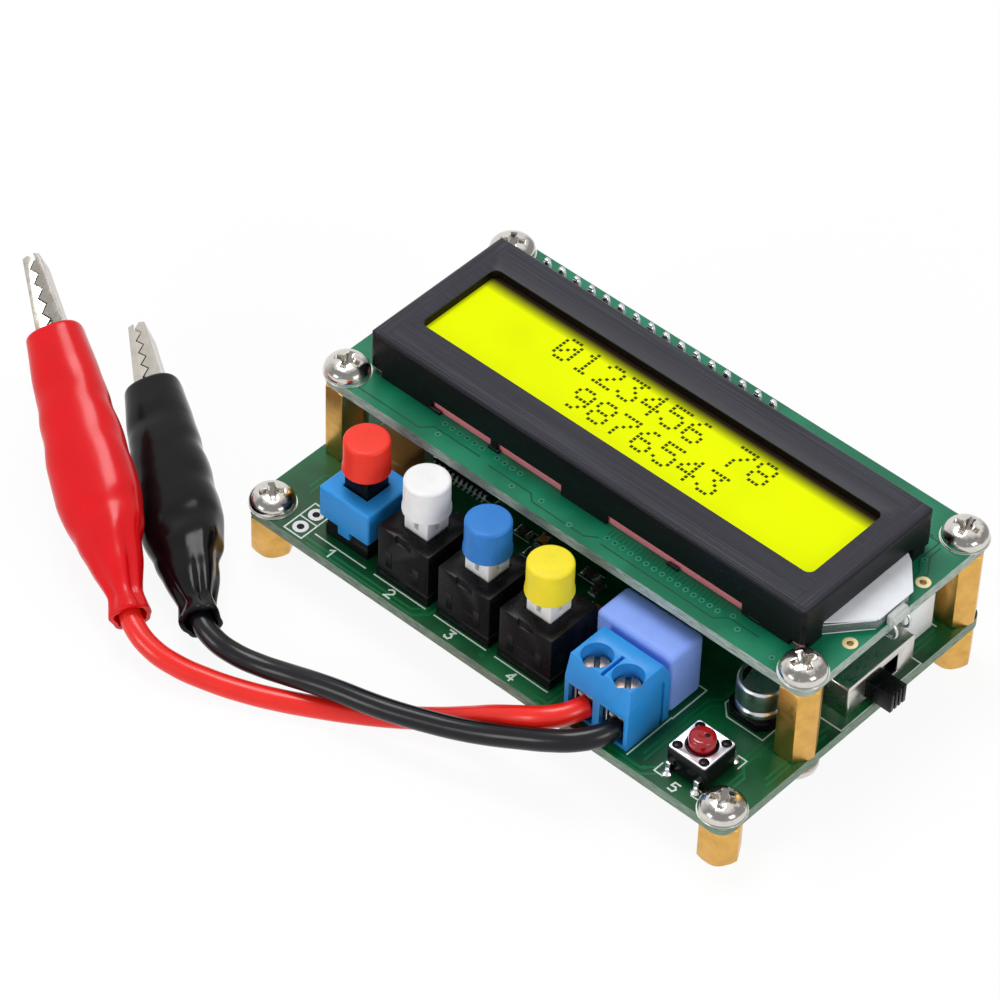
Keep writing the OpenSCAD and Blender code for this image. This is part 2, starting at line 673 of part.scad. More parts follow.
module terminal_body() color("dodgerblue") difference() {
    bevel = 3.3;
    translate([terminal_x, terminal_y, top_z]) intersection() {
        rotate([90, 0, 90]) translate([0, 0, -terminal_w / 2]) linear_extrude(terminal_w) polygon([
            [-terminal_d / 2, 0], [terminal_d / 2, 0], [terminal_d / 2, terminal_h - 1.6],
            [terminal_d / 2 - 0.8, terminal_h], [-terminal_d / 2 + 0.85, terminal_h],
            [-terminal_d / 2, terminal_h - bevel]
        ]);
        rotate([90, 0, 0]) translate([0, 0, -terminal_d / 2]) linear_extrude(terminal_d) polygon([
            [-terminal_w / 2, 0], [terminal_w / 2, 0], [terminal_w / 2, terminal_h - 2.6],
            [terminal_w / 2 - 0.6, terminal_h], [-terminal_w / 2, terminal_h]
        ]);
    }
    for (x = poles) {
        translate([x, cage_y + 0.4, top_z - 1]) block(cage_w + 2 * run, cage_d + 1.1, lip_z - top_z + 1);
        translate([x, terminal_front, wire_z - lead_r - 0.35]) block(cage_w, 5, lead_r + 3.1);
        translate([x, cage_y, lip_z - 1]) cylinder(r = screw_r + 0.3, h = 4);
        translate([x, cage_y, lip_z + lip_t]) cylinder(r = well_r, h = 9);
    }
    translate([terminal_x, cage_y, top_z + terminal_h - 0.9]) block(0.5, 4, 2);
    for (x = [-1, 1])
        translate([terminal_x + x * terminal_w / 2, terminal_y + terminal_d / 2 - 1.4, top_z - 1])
            block(0.7, 0.6, terminal_h - 1.2);
}

module terminal_screw(x) color("peru") translate([x, cage_y, 0]) difference() {
    union() {
        translate([0, 0, bar_z + bar_t]) cylinder(r = screw_r, h = lip_z + lip_t - bar_z - bar_t + e);
        translate([0, 0, lip_z + lip_t]) cylinder(r = well_r - 0.3, h = 1.2);
    }
    translate([0, 0, lip_z + lip_t + 0.6]) block(5, 0.6, 2);
}

module terminal_screw_left() terminal_screw(poles[0]);
module terminal_screw_right() terminal_screw(poles[1]);

// Box that the screw draws up to clamp the wire, open to the front and the rear
module terminal_cage(x) color("silver") difference() {
    translate([x, cage_y, cage_floor - cage_t])
        block(cage_w, cage_d, cage_head + cage_head_t - cage_floor + cage_t);
    translate([x, cage_y, cage_floor])
        block(cage_w - 2 * cage_t, cage_d + 1, cage_head - cage_floor);
    translate([x, cage_y, cage_head - 1]) cylinder(r = screw_r + seat, h = cage_head_t + 2);
}

module terminal_cage_left() terminal_cage(poles[0]);
module terminal_cage_right() terminal_cage(poles[1]);

// Fixed bars that the wires are pressed against, with their legs down to the board
module terminal_contacts() color("khaki") for (x = poles) {
    front = cage_y - cage_d / 2 + 0.1;
    rear = cage_y + cage_d / 2 + 0.3;
    translate([x - 1.2, front, bar_z]) cube([2.4, rear + 0.5 - front, bar_t]);
    translate([x - 1.2, rear, top_z]) cube([2.4, 0.5, bar_z - top_z + e]);
}

// ---------------------------------------------------------------- other parts of the board

module film_capacitor() color("cornflowerblue")
    translate([film_x, film_y, top_z]) soft_box(film_w, film_d, film_h, 0.8);

module can_capacitor() color("silver") translate([can_x, can_y, top_z + can_base_h]) rotate_extrude() {
    polygon([
        [0, 0], [can_r, 0], [can_r, 0.7], [can_r - 0.25, 1], [can_r - 0.25, 1.15], [can_r, 1.45],
        [can_r, can_h - 0.5], [0, can_h - 0.5]
    ]);
    translate([0, can_h - 0.51]) square([can_r - 0.5, 0.51]);
    translate([can_r - 0.5, can_h - 0.5]) circle(0.5);
}

module can_base() color("#1b1b1d") translate([can_x, can_y, top_z]) difference() {
    block(can_base_w, can_base_w, can_base_h);
    for (x = [-1, 1]) translate([x * can_base_w / 2, -can_base_w / 2, -1]) rotate(45) block(1.8, 1.8, 4);
}

module block_capacitor() color("sienna")
    translate([block_x, block_y, top_z]) soft_box(block_w, block_d, block_h, 0.4);

// Square flat pack with eleven gull-wing legs on each side
module processor() color("#1a1b1d") translate([chip_x, chip_y, top_z]) {
    leg_t = 0.15;
    leg_w = 0.45 * leg_pitch;
    knee = 0.3 * leg_reach;
    translate([0, 0, leg_t]) linear_extrude(chip_h - leg_t) round_rect(chip_w, chip_w, 0.3);
    for (a = [0 : 90 : 270], i = [0 : leg_count - 1]) rotate(a)
        translate([(i - (leg_count - 1) / 2) * leg_pitch - leg_w / 2, chip_w / 2 - e, 0]) {
            translate([0, 0, 0.4 * chip_h]) cube([leg_w, knee + leg_t, leg_t]);
            translate([0, knee, 0]) cube([leg_w, leg_t, 0.4 * chip_h + leg_t]);
            translate([0, knee, 0]) cube([leg_w, leg_reach - knee, leg_t]);
        }
}

// Chip resistors and capacitors: place from the left end and the front posts, and turn
chips = [
    [29.4, 4.25, 0], [32, 4.75, 90], [32.8, 2.05, 0], [27.4, 1.45, 90], [36.2, 4.15, 90],
    [40.4, 4.45, 0], [42.6, 3.25, 90], [44.9, 0.45, 0], [48.2, 3.15, 90], [6.8, 13.15, 90],
    [32, 17.15, 0], [39, 20.65, 0], [52, 11.65, 90], [58, 18.15, 0], [62.5, 11.15, 90],
    [11, 22.65, 0]
];

module small_parts() color("#3a3230") for (c = chips)
    translate([c[0] - board_w / 2, c[1] + post_y, top_z]) rotate(c[2]) {
        block(2, 1.25, 0.55);
        for (x = [-1, 1]) translate([x * 0.85, 0, 0]) block(0.4, 1.3, 0.6);
    }

module battery_header() color("white") translate([socket_x, socket_y, top_z]) {
    difference() {
        block(socket_w, socket_d, socket_h);
        translate([0, 0, 1.2]) block(socket_w - 1.2, socket_d - 1.4, socket_h);
        translate([0, socket_d / 2, 2.2]) block(2.4, 2, socket_h);
    }
    for (x = [-1, 1]) translate([x * 1.25, 0, 1.2 - e]) block(0.64, 0.64, 4.4);
}

// Solder cones under the board, one for each leg
module solder_joint(x, y) translate([x, y, board_z]) mirror([0, 0, 1]) rotate_extrude($fn = 16)
    polygon([[0, 0], [joint_r, 0], [0.4, 0.7], [0.3, 1.2], [0, 1.2]]);

module solder_joints() color("silver") {
    for (i = [0 : pin_count - 1]) solder_joint(header_x + i * pin_pitch, header_y);
    for (i = [0 : 3], x = [-1, 1], y = [-1 : 1])
        solder_joint(switch_at(i)[0] + x * 2.25, switch_y + y * 2.5);
    for (x = poles) solder_joint(x, cage_y + cage_d / 2 + 0.5);
    for (x = [-1, 1], y = [-1, 1]) solder_joint(func_x + x * 2.25, func_y + y * (func_w / 2 + 0.5));
    for (x = [-1, 1]) solder_joint(film_x + x * 5, film_y);
    for (y = [-2.5, 0, 2.5]) solder_joint(slide_x - slide_d / 2, slide_y + y);
}

// ---------------------------------------------------------------- leads and clips

module red_clip() translate(red_tail + lead_shift) rotate([0, -red_tilt, red_turn])
    rotate([clip_roll, 0, 0]) children();
module black_clip() translate(black_tail + lead_shift) rotate([0, -black_tilt, black_turn])
    rotate([clip_roll, 0, 0]) children();

// Stripped end of a lead, clamped in the terminal
module bare_end(x) translate([x, cage_y + cage_d / 2 + 0.1, wire_z]) rotate([90, 0, 0])
    cylinder(r = wire_r, h = cage_d + 0.6, $fn = 16);

module red_lead() color("red") {
    translate(lead_shift) tube(red_route, lead_r, 8);
    bare_end(poles[0]);
}

module black_lead() color("#2a2a30") {
    translate(lead_shift) tube(black_route, lead_r, 8);
    bare_end(poles[1]);
}

// Smooth curve through the boot's stations: half width (k = 1) or half height (k = 2)
function boot_half(s, k) =
    let (i = max([for (j = [0 : len(boot_stations) - 2]) if (s >= boot_stations[j][0]) j]))
    let (a = boot_stations[i], b = boot_stations[i + 1], t = min(1, (s - a[0]) / (b[0] - a[0])))
    a[k] + (b[k] - a[k]) * (t * t * (3 - 2 * t) * 0.35 + t * 0.65);

// Soft sleeve: an outer and an inner skin of oval rings, joined at the tail and the mouth
module boot() {
    n = 20;
    steps = 15;
    s = [for (k = [0 : steps]) k * boot_l / steps];
    function soft(v) = sign(v) * pow(abs(v), 0.77);
    function oval(x, a, b) = [for (i = [0 : n - 1])
        [x, a * soft(cos(360 * i / n)), b * soft(sin(360 * i / n))]];
    skin = [for (x = s) each oval(x, boot_half(x, 1), boot_half(x, 2))];
    lining = [for (x = s) each oval(x, boot_half(x, 1) - boot_t, boot_half(x, 2) - boot_t)];
    inner = (steps + 1) * n;
    function quad(base, k, i) = [
        base + k * n + i, base + k * n + (i + 1) % n, base + (k + 1) * n + (i + 1) % n, base + (k + 1) * n + i
    ];
    function reversed(q) = [q[3], q[2], q[1], q[0]];
    polyhedron(concat(skin, lining), concat(
        [for (k = [0 : steps - 1], i = [0 : n - 1]) reversed(quad(0, k, i))],
        [for (k = [0 : steps - 1], i = [0 : n - 1]) quad(inner, k, i)],
        [for (i = [0 : n - 1]) [i, (i + 1) % n, inner + (i + 1) % n, inner + i]],
        [for (i = [0 : n - 1]) reversed([
            steps * n + i, steps * n + (i + 1) % n, inner + steps * n + (i + 1) % n, inner + steps * n + i
        ])]
    ), convexity = 4);
}

module red_boot() color("crimson") red_clip() boot();
module black_boot() color("#1d1d22") black_clip() boot();

// The zigzag line where the two rows of teeth meet, from the throat to the tip
teeth_from = boot_l + 1.4;
tooth_gap = 0.2;
tooth_count = floor((clip_l - 0.8 - teeth_from) / (tooth_pitch / 2));
function tooth_line(phase) = [for (i = [0 : tooth_count])
    [teeth_from + i * tooth_pitch / 2, (i % 2 == 0 ? -phase : phase) * tooth_d / 2 + tooth_gap / 2]];

handle_from = 15;        // where the handles end, measured from the boot's tail
handle_y = 4;            // outer face of a handle at its widest
ear_r = 1.9;
barrel_s = 8.4;          // where the crimp barrel starts
barrel_l = 3;

// Side outline of one jaw on the +Y side; phase 1 or -1 lets the two rows of teeth mesh
module jaw_outline(phase) {
    polygon(concat(
        [[handle_from, handle_y - 1.1], [handle_from + 5, handle_y - 1.6], [pin_s - 6, 1.2],
         [pin_s, -0.4], [pin_s + 4, 0.5], [teeth_from - 1.2, 0.75]],
        tooth_line(phase),
        [[clip_l, 0.4], [clip_l - 0.3, 1.15], [boot_l, 1.9], [pin_s + 2, 2.5],
         [pin_s - 2, 2.5], [handle_from + 8, handle_y - 0.1], [handle_from + 3, handle_y],
         [handle_from, handle_y - 0.4]]
    ));
    translate([pin_s, 0]) circle(ear_r);
}

// Folded jaw: the outline at full width, hollowed to a channel that is open towards the other jaw
module jaw(width, nose, phase) difference() {
    union() {
        intersection() {
            translate([0, 0, -width / 2]) linear_extrude(width) jaw_outline(phase);
            translate([0, -5, -5]) cube([pin_s + 5.5, 10, 10]);
        }
        intersection() {
            translate([0, 0, -nose / 2]) linear_extrude(nose) jaw_outline(phase);
            translate([pin_s + 5, -5, -5]) cube([clip_l, 10, 10]);
        }
    }
    translate([0, 0, -width / 2 + jaw_t]) linear_extrude(width - 2 * jaw_t) polygon([
        [handle_from - 1, -3], [pin_s + 6, -3], [pin_s + 6, 2.5 - 2 * jaw_t],
        [pin_s - 2, 2.5 - jaw_t], [handle_from + 8, handle_y - 0.1 - jaw_t],
        [handle_from + 3, handle_y - jaw_t], [handle_from, handle_y - 0.4 - jaw_t],
        [handle_from - 1, handle_y - 0.6 - jaw_t]
    ]);
    translate([0, 0, -nose / 2 + jaw_t]) linear_extrude(nose - 2 * jaw_t) polygon([
        [pin_s + 5.6, -3], [clip_l + 1, -3], [clip_l + 1, 1.15 - jaw_t],
        [clip_l - 0.3, 1.15 - jaw_t], [boot_l, 1.9 - jaw_t], [pin_s + 5.6, 2.3 - jaw_t]
    ]);
    translate([pin_s, 0, -5]) cylinder(r = pin_r + seat, h = 10);
}

// The fixed jaw carries the barrel that the lead is crimped in, on a narrow neck
module fixed_jaw() {
    mirror([0, 1, 0]) jaw(jaw_w, jaw_w, -1);
    difference() {
        translate([barrel_s, 0, 0]) rotate([0, 90, 0]) cylinder(r = 1.95, h = barrel_l);
        translate([barrel_s - 1, 0, 0]) rotate([0, 90, 0]) cylinder(r = 1.65, h = barrel_l + 2);
        translate([barrel_s - 1, 0, -0.4]) cube([barrel_l + 2, 4, 0.8]);
    }
    translate([0, 0, -0.9]) linear_extrude(1.8) polygon([
        [barrel_s + 0.4, -1.9], [barrel_s + barrel_l - 0.1, -1.7], [handle_from - 0.6, 1 - handle_y],
        [handle_from + 0.8, 0.8 - handle_y], [handle_from + 0.8, 0.45 - handle_y],
        [handle_from - 0.8, 0.5 - handle_y]
    ]);
}

module moving_jaw() jaw(jaw_w - 2 * jaw_t - 0.3, jaw_w, 1);

module red_fixed_jaw() color("silver") red_clip() fixed_jaw();
module red_moving_jaw() color("silver") red_clip() moving_jaw();
module black_fixed_jaw() color("silver") black_clip() mirror([0, 1, 0]) fixed_jaw();
module black_moving_jaw() color("silver") black_clip() mirror([0, 1, 0]) moving_jaw();

module clip_pin() translate([pin_s, 0, -jaw_w / 2 - 0.35]) {
    cylinder(r = pin_r, h = jaw_w + 0.7, $fn = 24);
    for (z = [0, jaw_w + 0.4]) translate([0, 0, z]) cylinder(r = pin_r + 0.35, h = 0.3, $fn = 24);
}

module clip_pins() color("gray") {
    red_clip() clip_pin();
    black_clip() clip_pin();
}

// Torsion spring round the pin, an arm under each handle
module clip_spring() {
    wire = 0.25;
    coil_r = pin_r + 0.15 + wire;
    sweep = 900;
    coil = [for (a = [-90 : 30 : sweep - 90])
        [pin_s + coil_r * cos(a), coil_r * sin(a), -0.75 + 1.5 * (a + 90) / sweep]];
    tube(concat([[pin_s - 7, -2.4, -0.75]], coil, [[pin_s - 7, 2.4, 0.75]]), wire, 6);
}

module red_clip_spring() color("dimgray") red_clip() clip_spring();
module black_clip_spring() color("dimgray") black_clip() clip_spring();

main_board();
feet();
posts();
screws();
display_board();
display_bezel();
display_glass();
light_guide();
light_reflector();
backlight_lamp();
contact_strips();
driver_chips();
header_pins();
header_socket();
zero_base();
capacitance_base();
inductance_base();
mode_base();
zero_cover();
zero_stem();
capacitance_stem();
inductance_stem();
mode_stem();
zero_cap();
capacitance_cap();
inductance_cap();
mode_cap();
func_base();
func_plate();
func_legs();
func_button();
slide_shell();
slide_base();
slide_knob();
terminal_body();
terminal_screw_left();
terminal_screw_right();
terminal_cage_left();
terminal_cage_right();
terminal_contacts();
film_capacitor();
can_capacitor();
can_base();
block_capacitor();
processor();
small_parts();
battery_header();
solder_joints();
red_lead();
black_lead();
red_boot();
black_boot();
red_fixed_jaw();
red_moving_jaw();
black_fixed_jaw();
black_moving_jaw();
clip_pins();
red_clip_spring();
black_clip_spring();
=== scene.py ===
"""Open-frame component tester: looks, leads, studio and camera.

All pieces are modelled in millimetres in the frame's axes (+X along the display, +Y to the
rear, +Z up, origin between the feet on the table) and scaled to metres when they are made.
"""

from __future__ import annotations

import logging
import math
from dataclasses import dataclass, field
from enum import Enum
from typing import Optional, Sequence, Union

import bmesh
import bpy
from mathutils import Matrix, Vector


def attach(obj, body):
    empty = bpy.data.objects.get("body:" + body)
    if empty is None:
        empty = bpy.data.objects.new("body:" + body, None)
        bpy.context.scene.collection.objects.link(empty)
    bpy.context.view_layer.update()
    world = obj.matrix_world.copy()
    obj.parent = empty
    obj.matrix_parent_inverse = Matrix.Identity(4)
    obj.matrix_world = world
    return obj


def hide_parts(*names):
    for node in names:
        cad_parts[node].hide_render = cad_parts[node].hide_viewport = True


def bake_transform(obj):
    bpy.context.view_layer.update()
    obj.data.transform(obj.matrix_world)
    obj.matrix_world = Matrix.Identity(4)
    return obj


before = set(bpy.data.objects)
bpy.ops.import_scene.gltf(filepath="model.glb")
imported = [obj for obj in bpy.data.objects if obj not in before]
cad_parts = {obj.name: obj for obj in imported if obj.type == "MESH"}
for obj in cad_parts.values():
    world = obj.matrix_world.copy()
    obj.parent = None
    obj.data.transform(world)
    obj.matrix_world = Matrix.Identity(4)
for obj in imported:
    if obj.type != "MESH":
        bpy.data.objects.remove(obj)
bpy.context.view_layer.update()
LOG = logging.getLogger("component_tester")

Point = tuple[float, float, float]
Flat = tuple[float, float]
Colour = tuple[float, float, float]
MM = 0.001

# Where the boards lie and where their holes are, in millimetres.
MAIN_UNDER = 6.0
MAIN_TOP = 7.6
DISPLAY_UNDER = 19.6
DISPLAY_TOP = 21.2
HOLE_X = 37.5
POST_Y = -8.65
FOOT_Y = 22.35

# How solids are cleaned and how print is laid, in millimetres and degrees.
WELD = 0.002
FLAT_ANGLE = 0.6
PRINT_THICK = 0.02
PRINT_STEP = 0.0012
PRINT_LAYERS = 7


def tint(red: float, green: float, blue: float) -> Colour:
    """Turn a screen colour into the linear values that a shader takes.

    Args:
        red: red, 0 to 255.
        green: green, 0 to 255.
        blue: blue, 0 to 255.

    Returns:
        The colour in linear light.
    """

    def linear(value: float) -> float:
        """Linear light of one channel."""
        share = value / 255
        return share / 12.92 if share <= 0.04045 else ((share + 0.055) / 1.055) ** 2.4

    return linear(red), linear(green), linear(blue)


# ----------------------------------------------------------------------------- shaders


class Wire:
    """A shader value that Python arithmetic can be done on."""

    def __init__(self, graph: "Graph", socket: bpy.types.NodeSocket) -> None:
        """Keep the socket and the nodes it belongs to."""
        self.graph = graph
        self.socket = socket

    def maths(self, operation: str, *others: Union["Wire", float], clamp: bool = False) -> "Wire":
        """Add a Math node that works on this value.

        Args:
            operation: the node's operation.
            others: the other operands.
            clamp: whether the result is kept between 0 and 1.

        Returns:
            The node's result.
        """
        settings = {"operation": operation, "use_clamp": clamp}
        inputs = {index: value for index, value in enumerate((self, *others))}
        return self.graph.add("ShaderNodeMath", settings, inputs)

    def __add__(self, other: Union["Wire", float]) -> "Wire":
        """Sum."""
        return self.maths("ADD", other)

    __radd__ = __add__

    def __mul__(self, other: Union["Wire", float]) -> "Wire":
        """Product."""
        return self.maths("MULTIPLY", other)

    __rmul__ = __mul__

    def __sub__(self, other: Union["Wire", float]) -> "Wire":
        """Difference."""
        return self.maths("SUBTRACT", other)

    def __rsub__(self, other: float) -> "Wire":
        """Difference from a number."""
        return self.maths("MULTIPLY", -1.0).maths("ADD", other)

    def __pow__(self, other: float) -> "Wire":
        """Power."""
        return self.maths("POWER", other)

    def __abs__(self) -> "Wire":
        """Size without sign."""
        return self.maths("ABSOLUTE")

    def band(self, low: float, high: float) -> "Wire":
        """Rise from 0 at low to 1 at high, or fall if high is the smaller.

        Args:
            low: the value that gives 0.
            high: the value that gives 1.

        Returns:
            A share from 0 to 1.
        """
        scale = 1 / (high - low)
        return self.maths("MULTIPLY", scale).maths("ADD", -low * scale, clamp=True)


class Graph:
    """Nodes of a material or a world, added through one method."""

    def __init__(self, tree: bpy.types.NodeTree) -> None:
        """Empty a node tree and keep it."""
        self.tree = tree
        self.tree.nodes.clear()

    def add(
        self,
        kind: str,
        settings: Optional[dict[str, object]] = None,
        inputs: Optional[dict[Union[int, str], object]] = None,
        output: Union[int, str] = 0,
    ) -> Wire:
        """Add a node, set it up and connect it.

        Args:
            kind: the node's type.
            settings: attributes of the node.
            inputs: values or wires, by the index or name of their socket.
            output: the socket that is wanted.

        Returns:
            That socket as a wire.
        """
        node = self.tree.nodes.new(kind)
        for key, value in (settings or {}).items():
            setattr(node, key, value)
        for key, value in (inputs or {}).items():
            self.join(value, node.inputs[key])
        return Wire(self, node.outputs[output])

    def join(self, value: object, socket: bpy.types.NodeSocket) -> None:
        """Link a wire to a socket, or set the socket's own value.

        Args:
            value: the wire, number or colour.
            socket: the socket it goes to.
        """
        if isinstance(value, Wire):
            self.tree.links.new(value.socket, socket)
        elif isinstance(value, tuple) and len(value) == 3 and socket.type == "RGBA":
            socket.default_value = (*value, 1)
        else:
            socket.default_value = value


class Shader(Graph):
    """One material's nodes, with its surface shader ready."""

    def __init__(self, name: str) -> None:
        """Start a material that holds only a surface shader.

        Args:
            name: the material's name.
        """
        self.material = bpy.data.materials.new(name)
        self.material.use_nodes = True
        super().__init__(self.material.node_tree)
        self.surface = self.tree.nodes.new("ShaderNodeBsdfPrincipled")
        self.output = self.tree.nodes.new("ShaderNodeOutputMaterial")
        self.tree.links.new(self.surface.outputs[0], self.output.inputs[0])
        self._place: Optional[Wire] = None

    def place(self) -> Wire:
        """Coordinates that are fixed to the piece, in metres."""
        if self._place is None:
            self._place = self.add("ShaderNodeTexCoord", output="Object")
        return self._place

    def part(self, vector: Wire, axis: int) -> Wire:
        """One component of a vector: 0, 1 or 2 for X, Y or Z."""
        return self.add("ShaderNodeSeparateXYZ", inputs={0: vector}, output=axis)

    def facing(self, axis: int) -> Wire:
        """One component of the surface's direction, without its sign."""
        return abs(self.part(self.add("ShaderNodeNewGeometry", output="Normal"), axis))

    def noise(self, size: float, detail: float, stretch: Point = (1, 1, 1)) -> Wire:
        """Soft irregular pattern around 0.5.

        Args:
            size: size of its lumps in millimetres.
            detail: how many finer layers it has.
            stretch: how often it repeats along each axis.

        Returns:
            A value from 0 to 1.
        """
        spread = self.add(
            "ShaderNodeVectorMath", {"operation": "MULTIPLY"}, {0: self.place(), 1: stretch}
        )
        inputs = {"Vector": spread, "Scale": 1 / (size * MM), "Detail": detail}
        return self.add("ShaderNodeTexNoise", {"noise_dimensions": "3D"}, inputs)

    def blend(
        self, first: Union[Wire, Colour], second: Union[Wire, Colour], share: Wire
    ) -> Wire:
        """Mix two colours.

        Args:
            first: the colour where the share is 0.
            second: the colour where the share is 1.
            share: how much of the second colour shows.

        Returns:
            The mixed colour.
        """
        return self.add(
            "ShaderNodeMix", {"data_type": "RGBA"}, {0: share, 6: first, 7: second}, output=2
        )

    def relief(self, height: Wire, depth: float) -> None:
        """Give the surface small relief.

        Args:
            height: the relief, from 0 to 1.
            depth: its depth in millimetres.
        """
        inputs = {"Height": height, "Distance": depth * MM, "Strength": 1.0}
        self.dress(Normal=self.add("ShaderNodeBump", None, inputs))

    def dress(self, **sockets: object) -> None:
        """Set or link sockets of the surface shader, named with _ for a space."""
        for key, value in sockets.items():
            self.join(value, self.surface.inputs[key.replace("_", " ")])


def shade(colour: Colour, factor: float) -> Colour:
    """A colour made darker or lighter by a factor."""
    return tuple(min(1.0, channel * factor) for channel in colour)


@dataclass(frozen=True)
class Finish:
    """A finish that pieces share. The record's slot names its material class."""

    name: str
    slot: str
    colour: Colour
    rough: float = 0.4
    gloss: float = 0.3

    def material(self) -> bpy.types.Material:
        """Make the finish's material the first time it is asked for.

        Returns:
            The material.
        """
        found = bpy.data.materials.get(self.name)
        if found is None:
            shader = Shader(self.name)
            shader.dress(
                Base_Color=self.colour, Roughness=self.rough, Specular_IOR_Level=self.gloss
            )
            self.dress(shader)
            found = shader.material
        return found

    def dress(self, shader: Shader) -> None:
        """Add what is special to this finish."""


@dataclass(frozen=True)
class Plastic(Finish):
    """Moulded plastic with a faint orange peel, dust and handling marks."""

    grain: float = 0.35
    relief: float = 0.004
    glow: float = 0.0

    def dress(self, shader: Shader) -> None:
        """Vary colour and gloss a little and add the fine texture of the mould.

        Args:
            shader: the nodes to add it to.
        """
        cloud = shader.noise(2.6, 3)
        fine = shader.noise(self.grain, 2)
        specks = shader.noise(0.22, 1).band(0.70, 0.76)
        tone = shader.blend(shade(self.colour, 0.86), shade(self.colour, 1.08), cloud)
        dusty = tuple(0.75 * channel + 0.12 for channel in self.colour)
        shader.dress(
            Base_Color=shader.blend(tone, dusty, specks * 0.35),
            Roughness=cloud * 0.14 + (self.rough - 0.07) + specks * 0.2,
        )
        shader.relief(fine, self.relief)
        if self.glow:
            shader.dress(Subsurface_Weight=self.glow, Subsurface_Scale=0.0012)


@dataclass(frozen=True)
class Metal(Finish):
    """Bare or plated metal with draw lines, stains, rubbed places and painted dark reflections on
    sloping faces.
    """

    stretch: Point = (1, 1, 1)
    stain: float = 0.25
    relief: float = 0.003
    line: float = 0.12
    # depth: strength of the painted dark reflection on sloping faces turned to +X and the front.
    depth: float = 0.0

    def dress(self, shader: Shader) -> None:
        """Draw lines along one axis, cloudy stains, a few marks and painted dark reflections on
        slopes.

        Args:
            shader: the nodes to add it to.
        """
        lines = shader.noise(self.line, 2, self.stretch)
        cloud = shader.noise(1.8, 3).band(0.35, 0.72)
        marks = shader.noise(0.5, 2).band(0.62, 0.70)
        tone = shader.blend(self.colour, shade(self.colour, 0.62), cloud * self.stain)
        if self.depth:
            # Painted dark reflection: sloping faces turned to +X and the front go nearly black, by
            # depth.
            normal = shader.add("ShaderNodeNewGeometry", output="Normal")
            steep = shader.part(normal, 2) + shader.noise(1.1, 2) * 0.3 - 0.15
            painted_reflection = steep.band(0.97, 0.86) * steep.band(0.42, 0.55)
            turned = (shader.part(normal, 0) + shader.part(normal, 1) * -0.4 + 0.35).band(0.1, 0.5)
            tone = shader.blend(tone, shade(self.colour, 0.08), painted_reflection * turned * self.depth)
        shader.dress(
            Metallic=1.0,
            Base_Color=shader.blend(tone, shade(self.colour, 0.8), marks * 0.4),
            Roughness=lines * 0.16 + cloud * 0.1 + (self.rough - 0.12) + marks * 0.08,
        )
        shader.relief(lines, self.relief)


@dataclass(frozen=True)
class Laminate(Finish):
    """Glass-fibre board: solder mask on its faces, pale fibres on its edges."""

    copper: Colour = (0.1, 0.3, 0.2)
    edge: Colour = (0.5, 0.6, 0.5)

    def dress(self, shader: Shader) -> None:
        """Show copper areas through the mask and layered fibres on the edges.

        Args:
            shader: the nodes to add it to.
        """
        side = shader.facing(2).band(0.7, 0.4)
        layers = shader.noise(0.16, 3, (0.12, 0.12, 1))
        cloud = shader.noise(9, 2)
        weave = shader.noise(0.35, 1)
        ground = shader.blend(self.colour, self.copper, cloud.band(0.42, 0.60))
        ground = shader.blend(ground, shade(self.colour, 0.8), weave.band(0.4, 0.9) * 0.3)
        rim = shader.blend(shade(self.edge, 0.55), shade(self.edge, 1.15), layers.band(0.35, 0.65))
        shader.dress(
            Base_Color=shader.blend(ground, rim, side),
            Roughness=side * 0.4 + cloud * 0.1 + (self.rough - 0.05),
            Coat_Weight=0.08,
            Coat_Roughness=0.12,
        )
        shader.relief(weave * (1 - side) + layers * side, 0.006)


@dataclass(frozen=True)
class Vinyl(Finish):
    """Soft glossy vinyl of the boots and leads."""

    grain: float = 1.2
    depth: float = 0.03
    coat: float = 0.4
    soft: float = 0.15

    def dress(self, shader: Shader) -> None:
        """Soft waviness, fine pores and uneven gloss.

        Args:
            shader: the nodes to add it to.
        """
        wave = shader.noise(self.grain * 3, 2)
        pores = shader.noise(0.15, 1)
        cloud = shader.noise(4, 3)
        shader.dress(
            Base_Color=shader.blend(shade(self.colour, 0.88), shade(self.colour, 1.1), cloud),
            Roughness=cloud * 0.12 + pores * 0.05 + (self.rough - 0.08),
            Coat_Weight=self.coat,
            Coat_Roughness=0.14,
            Subsurface_Weight=self.soft,
            Subsurface_Scale=0.001,
        )
        shader.relief(wave * 0.8 + pores * 0.05, self.depth)


@dataclass(frozen=True)
class Clear(Finish):
    """Clear tinted plastic or glass."""

    ior: float = 1.49
    through: float = 0.9

    def dress(self, shader: Shader) -> None:
        """Let light through, with faint moulding marks.

        Args:
            shader: the nodes to add it to.
        """
        cloud = shader.noise(1.6, 2)
        shader.dress(
            Transmission_Weight=self.through,
            IOR=self.ior,
            Roughness=cloud * 0.06 + self.rough,
        )
        shader.relief(cloud, 0.01)


